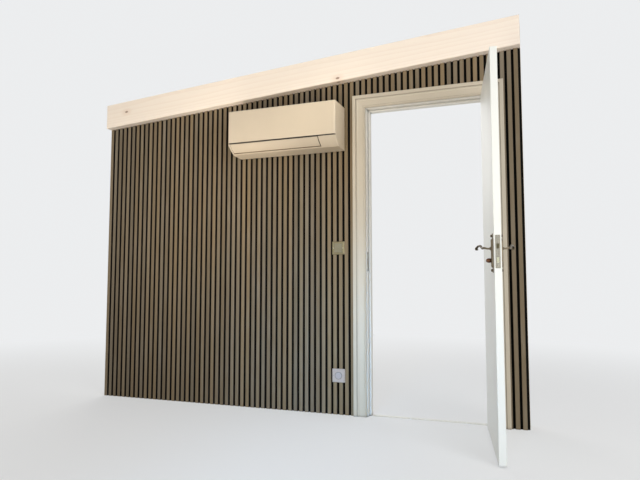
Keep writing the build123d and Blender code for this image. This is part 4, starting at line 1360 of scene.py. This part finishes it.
# %% Cover shade strip
shade_strip_gap = 0.0004
shade_strip_margin = 0.012
shade_strip_front = 0.0030
shade_strip_back = 0.0128
near_front = 0.002
cover_low, cover_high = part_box("ac_front_cover")
housing_points = [v.co for v in nodes["ac_housing"].data.vertices]
nose = max(point.z for point in housing_points if point.y < cover_low.y + near_front)
shade_strip_low = Vector((cover_low.x + shade_strip_margin, cover_low.y + shade_strip_front, nose))
shade_strip_high = Vector((cover_high.x - shade_strip_margin, cover_low.y + shade_strip_back, cover_low.z - shade_strip_gap))
shade_strip_corners = (
    (shade_strip_low.y, shade_strip_low.z), (shade_strip_high.y, shade_strip_low.z),
    (shade_strip_high.y, shade_strip_high.z), (shade_strip_low.y, shade_strip_high.z),
)
slot_shade_shape = sweep([[(x, y, z) for y, z in shade_strip_corners] for x in (shade_strip_low.x, shade_strip_high.x)])
# The strip is painted shade for the slot under the cover.
slot_shade_strip = add_object("cover_seal", to_data(slot_shade_shape, "cover_seal"))
put_on(slot_shade_strip, slot_shade_plastic)
settle(slot_shade_strip, "wall", "ac_grey_plastic")
print("seal mm:", [round(1000 * v, 1) for v in shade_strip_high - shade_strip_low])

# %% [markdown]
# ## Floor and backdrop
# The piece stands on a plain pale floor before a pale grey. The floor is really lit, so it
# keeps the wall's shadow, and it fades into the backdrop where only the camera and reflections
# see it. To the light itself the surroundings are a darker grey, which keeps the shadows open.

# %% Floor and backdrop
backdrop_colour = (0.84, 0.85, 0.86, 1.0)
ambient_colour = (0.42, 0.42, 0.42, 1.0)
floor_colour = (0.86, 0.855, 0.84, 1.0)
floor_radius = 30.0
floor_sides = 64
fade_starts = 1.8
fade_ends = 6.0


def only_seen(w):
    """1 where the camera looks, straight or by a reflection, and 0 for the light itself."""
    path = w.add("ShaderNodeLightPath")
    seen = w.math("MAXIMUM", path["Is Camera Ray"], path["Is Glossy Ray"])
    return w.math("MAXIMUM", seen, path["Is Transmission Ray"])


def make_floor():
    f = Finish("pale_floor", 0.8, base_color=floor_colour)
    distance = f.vector("LENGTH", f.place)
    fade = f.remap(distance, fade_starts, fade_ends, 0.5, 1.0, smooth=True)
    backdrop = f.fill("ShaderNodeEmission", backdrop_colour, 1.0)[0]
    share = f.times(only_seen(f), fade)
    mixed = f.fill("ShaderNodeMixShader", share, f.shader.outputs[0], backdrop)[0]
    f.feed(f.tree.nodes["Material Output"].inputs["Surface"], mixed)
    return f.material


floor_shape = bmesh.new()
bmesh.ops.create_circle(floor_shape, cap_ends=True, radius=floor_radius, segments=floor_sides)
floor = add_object("studio_floor", to_data(floor_shape, "studio_floor"))
put_on(floor, make_floor())

world = bpy.data.worlds.new("studio")
bpy.context.scene.world = world
world.use_nodes = True
wires = Wiring(world.node_tree)
background = world.node_tree.nodes["Background"].inputs["Color"]
wires.feed(background, wires.blend(only_seen(wires), ambient_colour, backdrop_colour))
print("floor radius:", floor_radius, "m")

# %% [markdown]
# ## Lamps
# The photograph is lit by cool daylight from the right and graded warm above and cool below.
# One large soft lamp stands for the daylight, and a weaker, warm one fills from the left. Four
# more follow the grading, each with a narrow spread that keeps its tint to one place: a warm
# one from low down for the upper wall, one for the air conditioner's right side, one for its
# chin and a cool one for the foot of the wall. The last stands behind, for the back face.


# %% Lamps
def soft_lamp(name, place, target, size, power, colour, spread=180):
    """A rectangle of light: its size in metres, its power in watts, its spread in degrees."""
    lamp = bpy.data.lights.new(name, "AREA")
    lamp.shape = "RECTANGLE"
    lamp.size, lamp.size_y = size
    lamp.energy = power
    lamp.color = colour
    lamp.spread = math.radians(spread)
    holder = add_object(name, lamp)
    holder.location = place
    holder.rotation_euler = (Vector(target) - Vector(place)).to_track_quat("-Z", "Y").to_euler()
    holder.visible_camera = False


daylight = (0.95, 0.97, 1.0)
warm = (1.0, 0.92, 0.79)
low_warm = (1.0, 0.92, 0.78)
side_warm = (1.0, 0.98, 0.86)
chin_warm = (1.0, 0.92, 0.82)
cool = (0.38, 0.65, 1.0)
neutral = (1.0, 1.0, 1.0)
wall_middle = (0.7, 0.0, 1.2)
unit_side = (0.52, -0.16, 1.76)
chin = (0.12, -0.2, 1.74)
soft_lamp("day_light", (4.9, -3.7, 1.9), wall_middle, (2.4, 2.4), 138.0, daylight)
soft_lamp("room_light", (-3.0, -4.0, 2.3), (0.6, 0.0, 1.7), (3.0, 2.4), 25.0, warm)
soft_lamp("low_light", (0.2, -3.2, 0.35), (0.4, 0.0, 1.7), (3.0, 0.8), 8.0, low_warm, 50)
soft_lamp("side_light", (1.5, -0.7, 2.6), unit_side, (0.4, 0.4), 0.34, side_warm, 30)
soft_lamp("chin_light", (0.12, -0.45, 0.7), chin, (0.8, 0.3), 0.4, chin_warm, 30)
soft_lamp("floor_light", (1.3, -3.9, 0.7), (0.85, 0.0, 0.25), (1.0, 0.6), 5.2, cool, 36)
soft_lamp("back_light", (-2.4, 4.4, 3.2), wall_middle, (3.0, 2.4), 85.0, neutral)
bpy.context.scene.view_settings.view_transform = "Standard"
print("lamps:", len(bpy.data.lights))
